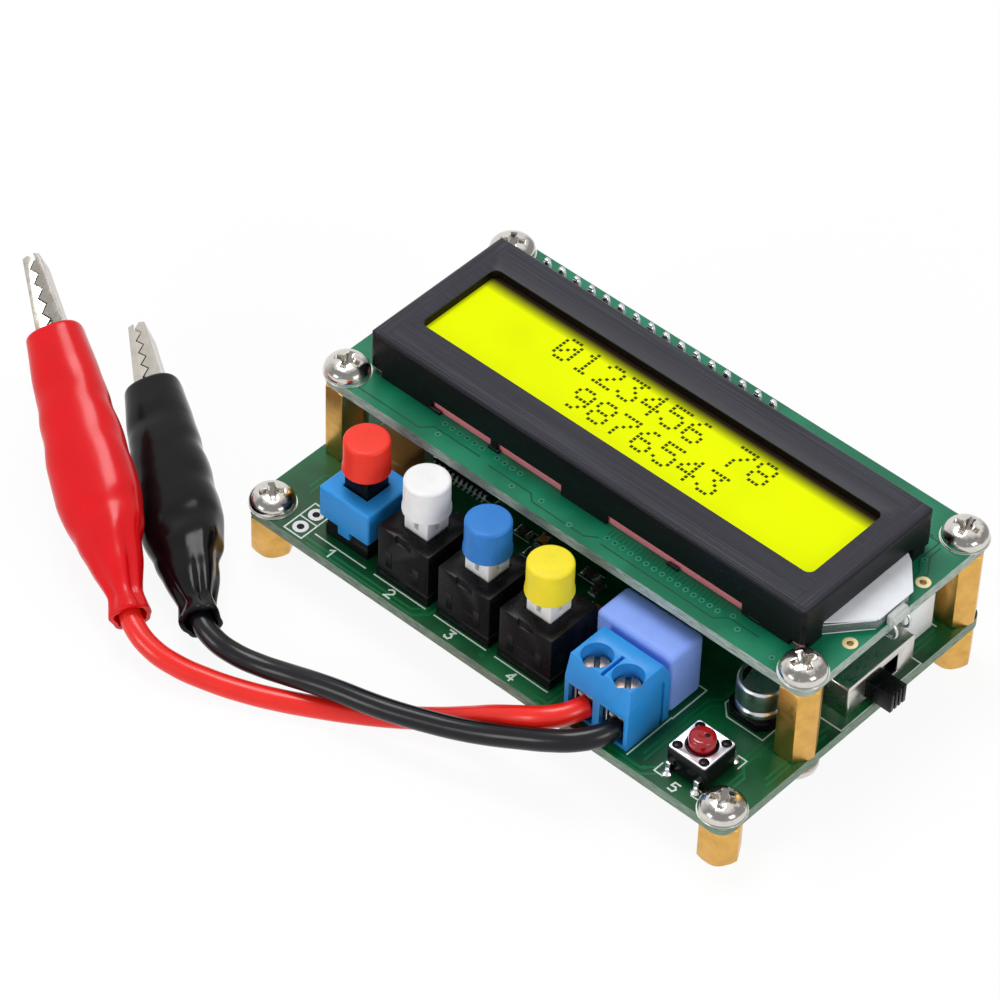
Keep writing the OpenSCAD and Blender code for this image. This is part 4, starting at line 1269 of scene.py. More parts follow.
@dataclass
class Clip:
    """Alligator clip in its soft boot."""

    colour: str
    tail: Point
    turn: float
    tilt: float
    boot: Finish
    seed: float
    folds: float
    hand: int = 1
    roll: float = -20.0
    span: float = 43.5
    wall: float = 0.65
    pieces: list[bpy.types.Object] = field(default_factory=list)

    def matrix(self) -> Matrix:
        """Where the clip lies.

        Returns:
            The move from a clip with its tail's middle at the origin and its tips along +X.
        """
        return (
            Matrix.Translation(self.tail)
            @ Matrix.Rotation(math.radians(self.turn), 4, "Z")
            @ Matrix.Rotation(math.radians(-self.tilt), 4, "Y")
            @ Matrix.Rotation(math.radians(self.roll), 4, "X")
        )

    def place(self, point: Point) -> Point:
        """A point of the clip in the frame, in metres."""
        return tuple((self.matrix() @ Vector(point)) * MM)

    @staticmethod
    def half(along_clip: float, which: int) -> float:
        """Half the boot's width or height.

        Args:
            along_clip: distance from the tail.
            which: 1 for the width, 2 for the height.

        Returns:
            Half of that size.
        """
        index = max(i for i, s in enumerate(STATIONS[:-1]) if along_clip >= s[0] - 1e-9)
        low, high = STATIONS[index], STATIONS[index + 1]
        share = min(1.0, (along_clip - low[0]) / (high[0] - low[0]))
        soft = share * share * (3 - 2 * share)
        return low[which] + (high[which] - low[which]) * (0.35 * soft + 0.65 * share)

    def dent(self, along_clip: float, angle: float) -> float:
        """How far the vinyl sinks in at a place, in millimetres.

        Args:
            along_clip: distance from the tail.
            angle: direction round the boot, in radians.

        Returns:
            The depth of the dent.
        """
        depth = 0.0
        if along_clip < 17:
            fade = 1 - along_clip / 17
            grow = min(1.0, along_clip / 2.5)
            flute = 0.5 + 0.5 * math.cos(5 * angle + self.seed + 0.05 * along_clip)
            depth += self.folds * 0.62 * fade * (0.35 + 0.65 * grow) * flute ** 2
            crease = 0.5 + 0.5 * math.cos(3 * angle - self.seed * 1.7)
            depth += self.folds * 0.3 * fade * grow * crease ** 3
        for middle, width, lean, deep in (
            (11.5, 1.5, 1.4, 0.36), (15.2, 1.8, -1.1, 0.26), (25.5, 2.0, 2.4, 0.26),
            (31.5, 1.6, 1.2, 0.22), (35.5, 1.7, -0.9, 0.16),
        ):
            wave = along_clip - middle - lean * math.sin(angle + self.seed)
            reach = 0.5 + 0.5 * math.cos(angle * 2 + middle)
            depth += self.folds * deep * math.exp(-((wave / width) ** 2)) * reach
        flat = 0.5 - 0.5 * math.cos(2 * angle)
        belly = math.exp(-(((along_clip - 22) / 9) ** 2))
        depth += 0.18 * flat * belly
        return depth

    def skin(self, along_clip: float, inset: float, sides: int) -> list[Point]:
        """One ring of the boot.

        Args:
            along_clip: distance from the tail.
            inset: distance inside the outer skin.
            sides: points round it.

        Returns:
            The ring's points.
        """
        ring = []
        wide, high = self.half(along_clip, 1), self.half(along_clip, 2)
        for step in range(sides):
            angle = 2 * math.pi * step / sides
            across = math.copysign(abs(math.cos(angle)) ** 0.77, math.cos(angle))
            over = math.copysign(abs(math.sin(angle)) ** 0.77, math.sin(angle))
            sink = self.dent(along_clip, angle) + inset
            length = math.hypot(wide * across, high * over)
            share = max(0.1, 1 - sink / length)
            ring.append((along_clip, wide * across * share, high * over * share))
        return ring

    def build(self) -> None:
        """Make the boot, the two jaws, the hinge pin and the spring."""
        self.build_boot()
        self.build_jaws()
        self.build_spring()

    def build_boot(self) -> None:
        """Loft the boot with its folds, its wall and its rolled edges."""
        model = Model(self.colour + "_boot_skin")
        steps, sides = 96, 72
        span = self.span
        outer = [self.skin(span * step / steps, 0.0, sides) for step in range(steps + 1)]
        inner = [self.skin(span * step / steps, self.wall, sides) for step in range(steps, -1, -6)]
        lip = [self.rolled(span, 0.0, 0.13, sides), self.rolled(span, -0.02, 0.45, sides)]
        end = [self.rolled(0.0, 0.02, 0.45, sides), self.rolled(0.0, 0.0, 0.13, sides)]
        outer[-1] = self.rolled(span - 0.15, 0.0, 0.02, sides)
        outer[0] = self.rolled(0.12, 0.0, 0.02, sides)
        model.loft(outer + lip + inner + end, looped=True)
        model.turn(self.matrix())
        boot = model.piece([self.boot], None, [self.colour + "_boot"], smooth=70)
        side = 1 if self.hand > 0 else -1
        self.colour + "_jaw"
        self.place((0.72, side * 3.95, 0))
        self.place((1.94, side * 10.83, 0))
        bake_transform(boot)
        self.pieces.append(boot)

    def rolled(self, along_clip: float, shift: float, inset: float, sides: int) -> list[Point]:
        """A ring of the boot's edge.

        Args:
            along_clip: distance from the tail.
            shift: how far it is moved along the clip.
            inset: distance inside the outer skin.
            sides: points round it.

        Returns:
            The ring's points.
        """
        ring = self.skin(along_clip, inset, sides)
        return [(point[0] + shift, point[1], point[2]) for point in ring]

    def build_jaws(self) -> None:
        """Round the folded sheet of the two jaws and the pin's rivet heads."""
        fixed = Model.from_node(self.colour + "_lower_jaw", self.colour + "_fixed_jaw", 0.07)
        moving = Model.from_node(self.colour + "_upper_jaw", self.colour + "_moving_jaw", 0.07)
        self.pieces.append(
            fixed.piece([Finishes.JAW_NICKEL], replaces=[self.colour + "_fixed_jaw"], smooth=30)
        )
        self.pieces.append(moving.piece(
            [Finishes.JAW_NICKEL], self.colour + "_jaw", [self.colour + "_moving_jaw"], smooth=30
        ))
        pin = Model(self.colour + "_hinge_pin")
        pin.lathe([
            (0, -2.5), (0.7, -2.48), (1.0, -2.36), (1.05, -2.2), (0.7, -2.15), (0.7, 2.15),
            (1.05, 2.2), (1.0, 2.36), (0.7, 2.48), (0, 2.5),
        ], (34, 0, 0), sides=24)
        pin.turn(self.matrix())
        self.pieces.append(pin.piece([Finishes.NICKEL], replaces=["clip_pins"]))

    def build_spring(self) -> None:
        """Wind the torsion spring round the pin, an arm under each handle."""
        path: list[Point] = [(27, -2.4, -0.75)]
        steps = 75
        for step in range(steps + 1):
            angle = math.radians(-90 + 900 * step / steps)
            height = -0.75 + 1.5 * step / steps
            path.append((34 + 1.1 * math.cos(angle), 1.1 * math.sin(angle), height))
        path.append((27, 2.4, 0.75))
        spring = Model(self.colour + "_coil")
        spring.tube(path, 0.25, 10)
        spring.turn(self.matrix())
        coil = spring.piece([Finishes.SPRING], None, [self.colour + "_clip_spring"])
        low, high = (-0.6, 0.6)
        self.colour + "_jaw"
        self.place((34, 0, low * self.hand))
        self.place((34, 0, high * self.hand))
        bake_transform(coil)
        self.pieces.append(coil)


# ----------------------------------------------------------------------------- boards


# The strokes of the printed figures, as shares of their height.
DIGITS: dict[str, list[list[Flat]]] = {
    "1": [[(0.1, 0.75), (0.45, 1.0), (0.45, 0.0)]],
    "2": [[(0.0, 0.8), (0.2, 1.0), (0.5, 1.0), (0.65, 0.8), (0.65, 0.6), (0.0, 0.0), (0.7, 0.0)]],
    "3": [[
        (0.0, 1.0), (0.65, 1.0), (0.3, 0.6), (0.55, 0.55), (0.65, 0.3), (0.5, 0.0), (0.1, 0.0),
        (0.0, 0.15),
    ]],
    "4": [[(0.5, 0.0), (0.5, 1.0), (0.0, 0.3), (0.7, 0.3)]],
    "5": [[
        (0.65, 1.0), (0.05, 1.0), (0.0, 0.55), (0.45, 0.6), (0.65, 0.35), (0.5, 0.0), (0.0, 0.05),
    ]],
}


@dataclass
class Boards:
    """The two circuit boards with their print, tracks, pads and vias."""

    top: float = MAIN_TOP
    face: float = DISPLAY_TOP
    under: float = DISPLAY_UNDER

    def build(self) -> None:
        """Dress both boards and lay what is printed and plated on them."""
        dress("main_board", Finishes.MAIN_BOARD)
        dress("display_board", Finishes.DISPLAY_BOARD)
        self.main_print()
        self.main_copper()
        self.display_copper()
        self.hole_rims()

    def digit(self, model: Model, figure: str, corner: Flat, size: float) -> None:
        """Print one plain figure.

        Args:
            model: the print it goes into.
            figure: the figure.
            corner: its lower left corner.
            size: its height.
        """
        for line in DIGITS[figure]:
            path = [(corner[0] + size * x, corner[1] + size * y) for x, y in line]
            model.stroke(path, 0.24, self.top)

    def main_print(self) -> None:
        """Print the outlines of the parts and plain figures on the main board."""
        model = Model("main_board_print")
        line, high = 0.2, self.top
        for index in range(4):
            middle = -25.3 + 10.2 * index
            model.stroke([(middle - 4.3, -22.72), (middle + 4.3, -22.72)], line, high)
            self.digit(model, str(index + 1), (middle - 1.1, -24.5), 1.35)
        self.digit(model, "5", (30.6, -24.4), 1.35)
        model.stroke([(23.45, -23.6), (23.45, -15.4)], line, high)
        model.stroke([(12.55, -23.6), (12.55, -15.4)], line, high)
        model.stroke([(10.2, -15.4), (10.2, -9.0), (23.6, -9.0), (23.6, -15.4)], line, high)
        model.stroke([
            (33.9, -3.3), (33.9, -10.6), (28.2, -10.6), (26.6, -9.0), (26.6, -4.8), (28.2, -3.3),
            (33.9, -3.3),
        ], line, high)
        model.stroke([(36.6, -2.8), (39.85, -2.8), (39.85, 12.7), (36.6, 12.7)], line, high)
        for right in (-1, 1):
            for up in (-1, 1):
                x, y = 31.1 + 3.6 * right, -18.9 + 4.4 * up
                model.stroke([(x - 1.3 * right, y), (x, y), (x, y - 1.6 * up)], line, high)
        model.stroke([
            (-33.4, -24.5), (-30.4, -24.5), (-30.4, -18.8), (-33.4, -18.8), (-33.4, -24.5),
        ], line, high)
        model.stroke([(-33.4, -21.6), (-30.4, -21.6)], line, high)
        model.stroke([
            (-34.8, -10.3), (-26.8, -10.3), (-26.8, -4.5), (-34.8, -4.5), (-34.8, -10.3),
        ], line, high)
        model.stroke([
            (-27.6, -3.5), (-16.9, -3.5), (-16.9, 7.1), (-27.6, 7.1), (-27.6, -2.9),
        ], line, high)
        for x, y in (
            (-10.6, -4.4), (-7.2, -6.6), (0.4, -4.2), (4.9, -8.2), (-8, 8.5), (-1, 12),
            (18, 9.5), (-29, 14),
        ):
            model.stroke([(x - 1.4, y - 0.9), (x + 1.4, y - 0.9)], 0.14, high)
            model.stroke([(x - 1.4, y + 0.9), (x + 1.4, y + 0.9)], 0.14, high)
        model.stroke([(30.7, 12.3), (30.7, 18.9), (37.2, 18.9)], line, high)
        model.stroke([(-33.0, 20.6), (7.4, 20.6)], line, high)
        model.piece([Finishes.PRINT], smooth=20)

    def main_copper(self) -> None:
        """Raise the tracks under the main board's mask, with its vias and bare pads."""
        tracks = Model("main_board_tracks")
        runs: list[list[Flat]] = [
            [(-30, -23.9), (-12, -23.9), (-10.5, -22.4), (-10.5, -12)],
            [(-29, -12.6), (-20, -12.6), (-18.6, -11.2), (-2, -11.2)],
            [(-16.2, -4), (-13.5, -6.7), (-13.5, -10), (-12, -11.6), (6, -11.6)],
            [(9, -24.1), (26, -24.1), (27.6, -22.5), (27.6, -16)],
            [(10.3, -23.2), (10.3, -16.5), (8.6, -14.8), (8.6, -7)],
            [(24.8, -22), (24.8, -10), (26, -8.8), (26, -2), (28, 0), (31.5, 0)],
            [(35.5, -22), (35.5, -16), (34.2, -14.7), (34.2, -6.4), (35.8, -4.8)],
            [(24, -3), (24, 6), (26.5, 8.5), (30, 8.5)],
            [(-36, -17), (-36, -14.5), (-34.6, -13.1), (-31.6, -13.1)],
            [(-35.6, -3), (-35.6, 12), (-33.6, 14), (-31, 14)],
            [(15.5, -8), (15.5, -2), (13, 0.5), (-14, 0.5)],
            [(-15, 2.6), (8, 2.6), (11, 5.6), (22, 5.6)],
            [(-15, 4.2), (5, 4.2), (9, 8.2), (16, 8.2)],
            [(-24, 8.5), (-24, 15), (-22, 17), (-4, 17)],
            [(-20, 8.5), (-20, 12.5), (-18, 14.5), (0, 14.5), (3, 17.5), (3, 20)],
            [(38.2, -15), (38.2, -4)], [(37.4, 14), (37.4, 18.2)],
        ]
        for run in runs:
            tracks.stroke(run, 0.34, self.top - 0.008)
            tracks.stroke([(x + 0.75, y - 0.75) for x, y in run], 0.34, self.top - 0.008)
        tracks.piece([Finishes.TRACK], smooth=20)
        vias = Model("main_board_vias")
        places = [
            (-34.6, -16.2), (-33.2, -14.8), (-36.1, -19.4), (-10.5, -23.1), (-0.4, -23.6),
            (9.2, -21.9), (26.3, -23.8), (36.9, -19.7), (35.2, -12.8), (26.1, -12.4), (24.8, -6.6),
            (37.7, -12.1), (-36.4, 2.1), (-35.2, 9.6), (38.4, -3.4), (27.2, -1.5), (-31.9, -15.7),
            (21.4, -24.2), (10.9, -24.2), (-20.4, -12.4), (-9.4, -11.8), (1.3, -12.2),
        ]
        for place in places:
            vias.washer(place, 0.16, 0.36, self.top - 0.004, 0.02, 14)
        vias.piece([Finishes.TRACK], smooth=20)
        pads = Model("main_board_pads")
        for place in ((-31.9, -23.05), (-31.9, -20.2)):
            pads.washer(place, 0.5, 1.05, self.top, 0.035, 28)
            pads.finish = 1
            pads.lathe([(0, 0.0), (0.5, 0.0), (0.5, 0.02), (0, 0.02)], (*place, self.top), sides=20)
            pads.finish = 0
        pads.piece([Finishes.SOLDER, Finishes.RESIN], smooth=20)

    def display_copper(self) -> None:
        """Lay the vias and tracks that show on the display board."""
        high = self.face
        vias = Model("display_board_vias")
        hubs = Model("display_board_via_holes")
        places: list[Flat] = []
        places += [(-22.0 + 1.25 * step, -7.2) for step in range(6)]
        places += [(-13.2 + 1.3 * step, -7.25) for step in range(4)]
        places += [(5.9 + 1.27 * step, -8.2) for step in range(15)]
        places += [
            (-21.4, -9.2), (-8.6, -9.6), (-4.2, -9.0), (1.0, -9.7), (25.6, -7.6), (27.4, -8.9),
            (33.4, -9.6), (36.4, 15.8), (33.6, 19.6), (24, 19.9), (30.4, 21.3), (-36.4, 8.2),
        ]
        for place in places:
            vias.washer(place, 0.2, 0.42, high, 0.03, 16)
            hubs.lathe([(0, 0), (0.2, 0), (0.2, 0.015), (0, 0.015)], (*place, high), sides=12)
        vias.piece([Finishes.PALE_COPPER], smooth=20)
        hubs.piece([Finishes.DARK_TRACK], smooth=20)
        gaps = Model("display_board_tracks")
        for step in range(15):
            for shift in (-0.3, 0.3):
                x = 5.9 + 1.27 * step + shift
                start = -7.75 + 0.12 * (step % 3)
                gaps.stroke([(x, start), (x, -6.7)], 0.09, high - 0.006)
        runs: list[list[Flat]] = [
            [(-35, -9.9), (-24, -9.9), (-22.6, -8.5), (-15, -8.5)],
            [(-13, -8.9), (-6, -8.9), (-5, -9.9), (3.5, -9.9), (5, -8.9)],
            [(6, -9.5), (24, -9.5), (25.4, -8.1), (30, -8.1)],
            [(36.3, 8.6), (38.2, 10.5), (38.2, 14.2), (36.6, 16.6), (36.6, 18.6)],
            [(36.3, 10.4), (37.3, 11.3), (37.3, 13.6), (35.9, 15.4), (35.9, 19.4), (30, 19.4)],
            [(-36.4, -4.5), (-36.4, 14), (-37.6, 15.6), (-37.6, 18.6)],
            [(9, 21.2), (31, 21.2), (32.5, 19.7), (34.6, 19.7)],
        ]
        for run in runs:
            gaps.stroke(run, 0.2, high - 0.006)
        gaps.piece([Finishes.DARK_TRACK], smooth=20)

    def hole_rims(self) -> None:
        """Plate the rims of the mounting holes and of the two free holes by the lamp."""
        rims = Model("plated_holes")
        for y in (-1.3, 12.7):
            rims.washer((38.7, y), 0.5, 0.98, self.face, 0.04, 28)
            rims.washer((38.7, y), 0.5, 0.98, self.under - 0.04, 0.04, 28)
            rims.washer((38.7, y), 0.44, 0.5, self.under, 1.6, 28)
        rims.piece([Finishes.PLATED_RIM], smooth=20)
        rings = Model("screw_hole_rims")
        for x in (-HOLE_X, HOLE_X):
            for y in (POST_Y, FOOT_Y):
                rings.washer((x, y), 1.62, 3.22, self.face, 0.03, 48)
            rings.washer((x, -FOOT_Y), 1.62, 3.2, self.top, 0.03, 48)
        rings.piece([Finishes.TINNED_RIM], smooth=20)


@dataclass
class Brass:
    """Hexagonal brass feet and posts."""

    bevel: float = 0.1

    def build(self) -> None:
        """Round the edges of the hexagonal bars."""
        for name, node in (("brass_feet", "feet"), ("brass_posts", "posts")):
            rounded(name, node, Finishes.BRASS, self.bevel, smooth=32)


@dataclass
class Screws:
    """Pan head screws with a cross recess.

    A place holds the seat's x, y and z, the turn of the recess in degrees, and whether the
    screw is upside down. The two over the front feet have the short shank.
    """

    long_shank: float = 5.0
    short_shank: float = 3.8
    places: Sequence[tuple[float, float, float, float, bool]] = (
        (-HOLE_X, POST_Y, DISPLAY_TOP, 20, False), (HOLE_X, POST_Y, DISPLAY_TOP, 64, False),
        (-HOLE_X, FOOT_Y, DISPLAY_TOP, 35, False), (HOLE_X, FOOT_Y, DISPLAY_TOP, 8, False),
        (-HOLE_X, -FOOT_Y, MAIN_TOP, 50, False), (HOLE_X, -FOOT_Y, MAIN_TOP, 28, False),
        (-HOLE_X, POST_Y, MAIN_UNDER, 40, True), (HOLE_X, POST_Y, MAIN_UNDER, 75, True),
    )

    def head_model(self) -> Model:
        """Turn one head and cut its recess.

        Returns:
            The head, its seat at height 0.
        """
        head = Model("screw_head")
        profile = [
            (0, 2.08), (0.9, 2.04), (1.6, 1.9), (2.2, 1.66), (2.65, 1.32), (2.93, 0.92),
            (3.04, 0.5), (3.05, 0.22), (2.98, 0.06), (2.85, 0.0), (0, 0.0),
        ]
        head.lathe(profile, sides=48)
        steps = ((0.45, 0.35, 0.3), (0.8, 0.95, 0.34), (1.5, 1.5, 0.42), (2.6, 2.15, 0.56))
        for turn in (0, 90):
            wing = Model("wing")
            wing.loft([
                [(a, b, height), (-a, b, height), (-a, -b, height), (a, -b, height)]
                for height, a, b in steps
            ])
            head.cut(wing.turn(Matrix.Rotation(math.radians(turn), 4, "Z")))
        middle = Model("middle")
        middle.lathe([(0, 0.35), (0.5, 0.8), (0.78, 1.5), (0.95, 2.6), (0, 2.6)], sides=24)
        head.cut(middle)
        head.bevel(0.06, 2, 35)
        return head

    def build(self) -> None:
        """Place the eight screws."""
        head = self.head_model()
        model = Model("pan_screws")
        for x, y, z, turn, down in self.places:
            place = Matrix.Translation((x, y, z)) @ Matrix.Rotation(math.radians(turn), 4, "Z")
            if down:
                place = place @ Matrix.Rotation(math.pi, 4, "X")
            end = self.short_shank if z == MAIN_TOP else self.long_shank
            shank = Model("shank")
            shank.lathe([(0, -end), (1.0, -end), (1.2, 0.3 - end), (1.24, 0), (0, 0)], sides=20)
            model.join(head, place)
            model.join(shank, place)
        model.piece([Finishes.NICKEL], replaces=["screws"], smooth=32)


# ----------------------------------------------------------------------------- display


# The cells of each figure on the screen, row by row, and then each dark one's row and column.
DOTS: dict[str, str] = {
    "0": "01110 10001 10011 10101 11001 10001 01110",
    "1": "00100 01100 00100 00100 00100 00100 01110",
    "2": "01110 10001 00001 00010 00100 01000 11111",
    "3": "11111 00010 00100 00010 00001 10001 01110",
    "4": "00010 00110 01010 10010 11111 00010 00010",
    "5": "11111 10000 11110 00001 00001 10001 01110",
    "6": "00110 01000 10000 11110 10001 10001 01110",
    "7": "11111 00001 00010 00100 01000 01000 01000",
    "8": "01110 10001 10001 01110 10001 10001 01110",
    "9": "01110 10001 10001 01111 00001 00010 01100",
}
CELLS: dict[str, list[tuple[int, int]]] = {
    figure: [
        (down, over) for down, line in enumerate(dots.split())
        for over, mark in enumerate(line) if mark == "1"
    ]
    for figure, dots in DOTS.items()
}


@dataclass
class Display:
    """Character display: bezel, lit cell, strips, guide, film and lamp.

    The first figure's upper left cell lies at first. Figures and rows are a step apart,
    their cells a pitch apart, and cell is half a cell's size.
    """

    middle: float = 5.7
    face: float = DISPLAY_TOP
    screen: float = 26.9
    window: Flat = (63.6, 14.0)
    rows: tuple[str, ...] = ("0123456 78", "  9876543")
    first: Flat = (-17.2, 10.7)
    step: Flat = (3.55, 5.57)
    pitch: Flat = (0.60, 0.63)
    cell: Flat = (0.22, 0.23)

    def build(self) -> None:
        """Make every piece of the display."""
        self.bezel()
        self.glass()
        self.cells()
        self.strips()
        self.guide()
        self.film()
        self.lamp()
        self.drops()

    def ring(self, grow: float, height: float, radius: float) -> list[Point]:
        """A ring round the window.

        Args:
            grow: its distance outside the window's edge.
            height: its height.
            radius: radius of its corners.

        Returns:
            Its points.
        """
        outline = soft_rectangle(self.window[0] + 2 * grow, self.window[1] + 2 * grow, radius, 6)
        return [(x, y + self.middle, height) for x, y in outline]

    def corners(self, half: Flat) -> list[Flat]:
        """The four corners of a rectangle about the display's middle.

        Args:
            half: half its width and half its depth.

        Returns:
            The corners.
        """
        return [(x * half[0], self.middle + y * half[1]) for x in (-1, 1) for y in (-1, 1)]

    def bezel(self) -> None:
        """Round the bezel's edges, turn its window's edge inwards and add its tabs."""
        model = Model.from_node("bezel_frame", "display_bezel", 0.1)
        for x, y in self.corners((34.6, 11.9)):
            notch = Model("corner notch")
            notch.box((x - 1.15, y - 0.8, 20.9), (x + 1.15, y + 0.8, 22.3))
            model.cut(notch)
        model.loft([
            self.ring(0.42, 28.19, 1.3), self.ring(0.2, 28.18, 1.2), self.ring(0.06, 28.1, 1.05),
            self.ring(0.0, 27.9, 1.0), self.ring(0.3, 27.9, 1.3), self.ring(0.45, 28.0, 1.35),
        ], looped=True)
        # The window's inner wall takes the painted shade finish.
        model.finish = 1
        model.loft([
            self.ring(0.0, 27.9, 1.0), self.ring(0.0, 26.86, 1.0), self.ring(0.35, 26.86, 1.3),
            self.ring(0.35, 27.9, 1.3),
        ], looped=True)
        model.finish = 0
        for x in (-24.4, -14.45, 15.0, 28.0):
            for side in (-1, 1):
                y = self.middle + side * 12.15
                tab = Model("tab")
                tab.box((-0.9, -0.2, 0), (0.9, 0.2, 0.5))
                tab.bevel(0.08)
                model.join(tab, Matrix.Translation((x, y, self.face - 0.02)))
        model.piece([Finishes.BEZEL, Finishes.PAINTED_SHADE_WALL], replaces=["display_bezel"], smooth=34)

    def glass(self) -> None:
        """Make the glass cell, its lit face set back below the window's edge."""
        model = Model("glass_cell")
        middle, under = self.middle, self.screen - 0.02
        model.box((-34.6, middle - 11.3, 25.0), (34.6, middle + 11.3, under))
        model.bevel(0.1)
        model.finish = 1
        model.box((-32.4, middle - 7.6, under), (32.4, middle + 7.6, self.screen))
        model.piece([Finishes.GLASS_EDGE, Finishes.SCREEN], replaces=["display_glass"], smooth=30)

    def cells(self) -> None:
        """Darken the cells of two rows of plain figures."""
        model = Model("dark_cells")
        wide, deep = self.cell
        for row, text in enumerate(self.rows):
            for column, figure in enumerate(text):
                for down, over in CELLS.get(figure, []):
                    x = self.first[0] + self.step[0] * column + self.pitch[0] * over
                    y = self.first[1] - self.step[1] * row - self.pitch[1] * down
                    model.box(
                        (x - wide, y - deep, self.screen), (x + wide, y + deep, self.screen + 0.012)
                    )
        model.piece([Finishes.INK], smooth=20)

    def strips(self) -> None:
        """Layer the rubber contact strips."""
        model = Model("rubber_strips")
        layers = (
            (self.face, 22.3, 0.0), (22.3, 22.42, 0.04), (22.42, 23.6, 0.0),
            (23.6, 23.72, 0.04), (23.72, 25.0, 0.0),
        )
        for side in (-1, 1):
            y = self.middle + side * 10.9
            for low, high, inset in layers:
                long, wide = 33 - inset, 0.84 - inset
                model.box((-long, y - wide, low), (long, y + wide, high))
        model.bevel(0.05)
        lips = Model("corner lips")
        for x, y in self.corners((34.3, 11.1)):
            lips.box((x - 0.75, y - 0.6, self.face), (x + 0.75, y + 0.6, 22.7))
        lips.bevel(0.15)
        model.join(lips)
        model.piece([Finishes.PINK], replaces=["contact_strips"], smooth=30)

    def guide(self) -> None:
        """Make the clear guide with its tapered tongue, and white lines along the tongue's slanted
        edges as painted highlights.
        """
        rounded("clear_guide", "light_guide", Finishes.GUIDE, 0.12, smooth=30)
        # Painted highlights: thin white tubes along the tongue's top and bottom slanted edges stand
        # for light caught by the clear edges.
        rim = Model("guide_painted_highlights")
        for side in (-1, 1):
            near, far = self.middle + side * 8.2, self.middle + side * 3.1
            for height in (22.78, 21.3):
                rim.tube([(35.3, near, height), (39.45, far, height)], 0.07, 6)
        rim.piece([Finishes.FILM])

    def film(self) -> None:
        """Lay the white film over the tongue, lifted at its bezel side."""
        model = Model("white_film")
        half, start = 8.2, 34.75
        outline = [
            (start, -half), (35.4, -half), (39.7, -2.8), (39.7, 3.6), (36.5, 7.2), (start, half),
        ]
        rows = 8
        rings = []
        for thick in (0.0, 0.22):
            edge = []
            for (x0, y0), (x1, y1) in zip(outline, outline[1:] + outline[:1]):
                for step in range(rows):
                    x = x0 + (x1 - x0) * step / rows
                    y = y0 + (y1 - y0) * step / rows
                    lift = 0.55 * max(0.0, 1 - (x - start) / 4.2) ** 1.5
                    edge.append((x, y + self.middle, 22.83 + lift + thick))
            rings.append(edge)
        model.loft(rings)
        bmesh.ops.triangulate(model.mesh, faces=[f for f in model.mesh.faces if len(f.verts) > 4])
        model.piece([Finishes.FILM], replaces=["light_reflector"], smooth=50)

    def lamp(self) -> None:
        """Make the side lamp and curl its two leads round the board's edge."""
        model = Model("side_lamp")
        body = Model("body")
        body.box((39.77, self.middle - 1.58, 21.24), (40.7, self.middle + 1.58, 22.8))
        body.bevel(0.18, 3)
        body.lathe([
            (0, -1.5), (0.62, -1.45), (0.74, -1.2), (0.74, 1.2), (0.62, 1.45), (0, 1.5),
        ], (40.45, self.middle, 22.0), Axis.Y, 20)
        model.join(body)
        model.finish = 1
        for side in (-1, 1):
            y = self.middle + side * 1.3
            path: list[Point] = []
            for step in range(15):
                angle = math.radians(80 - 170 * step / 14)
                path.append((40.1 + 1.25 * math.cos(angle), y, 20.4 + 1.25 * math.sin(angle)))
            path.append((39.0, y, 19.15))
            model.tube(path, 0.22, 10)
        model.piece([Finishes.LAMP, Finishes.SOLDER], replaces=["backlight_lamp"], smooth=40)

    def drops(self) -> None:
        """Let the two drops of resin sag a little out of round."""
        model = Model("resin_drops")
        profile = ((5.45, 0), (5.3, 0.25), (4.7, 0.66), (3.7, 1.05), (2.4, 1.34), (1.1, 1.46))
        for x, y, seed in ((-16.0, 6.85, 0.4), (10.0, 6.85, 1.9)):
            rings: list[list[Point]] = []
            for radius, height in profile:
                ring = []
                for step in range(40):
                    angle = 2 * math.pi * step / 40
                    sag = 0.02 * (1 + math.sin(3 * angle + seed))
                    reach = radius * (1 - sag - 0.012 * (1 + math.sin(5 * angle)))
                    ring.append((
                        x + reach * math.cos(angle), y + reach * math.sin(angle),
                        DISPLAY_UNDER - height,
                    ))
                rings.append(ring)
            model.loft(rings + [[(x, y, 18.11)]])
        model.piece([Finishes.RESIN], replaces=["driver_chips"], smooth=60)


@dataclass
class Header:
    """Pin header between the boards, with its solder."""

    first: float = -32.0
    pitch: float = 2.54
    count: int = 16
    row: float = 22.95
    tip: float = 23.0

    def build(self) -> None:
        """Make the pins, their solder and the two plastic strips."""
        pins = Model("header_pin_row")
        solder = Model("pin_solder")
        for index in range(self.count):
            x = self.first + index * self.pitch
            for low, high, model in (
                (11.4, DISPLAY_UNDER, pins), (DISPLAY_TOP, self.tip, solder)
            ):
                pin = Model("pin")
                pin.box((-0.32, -0.32, low), (0.32, 0.32, high))
                pin.bevel(0.1)
                model.join(pin, Matrix.Translation((x, self.row, 0)))
            high = 1.5 + 0.12 * math.sin(index * 1.7)
            solder.lathe([
                (0.86, 0.0), (0.85, 0.12), (0.76, 0.4), (0.64, 0.75), (0.54, 1.1), (0.45, high),
                (0.3, high + 0.12), (0, high + 0.16),
            ], (x, self.row, DISPLAY_TOP), sides=20)
        pins.piece([Finishes.GOLD], replaces=["header_pins"], smooth=30)
        solder.piece([Finishes.SOLDER], smooth=60)
        rounded("header_strips", "header_socket", Finishes.BLACK, 0.08, smooth=30)


# ----------------------------------------------------------------------------- switches


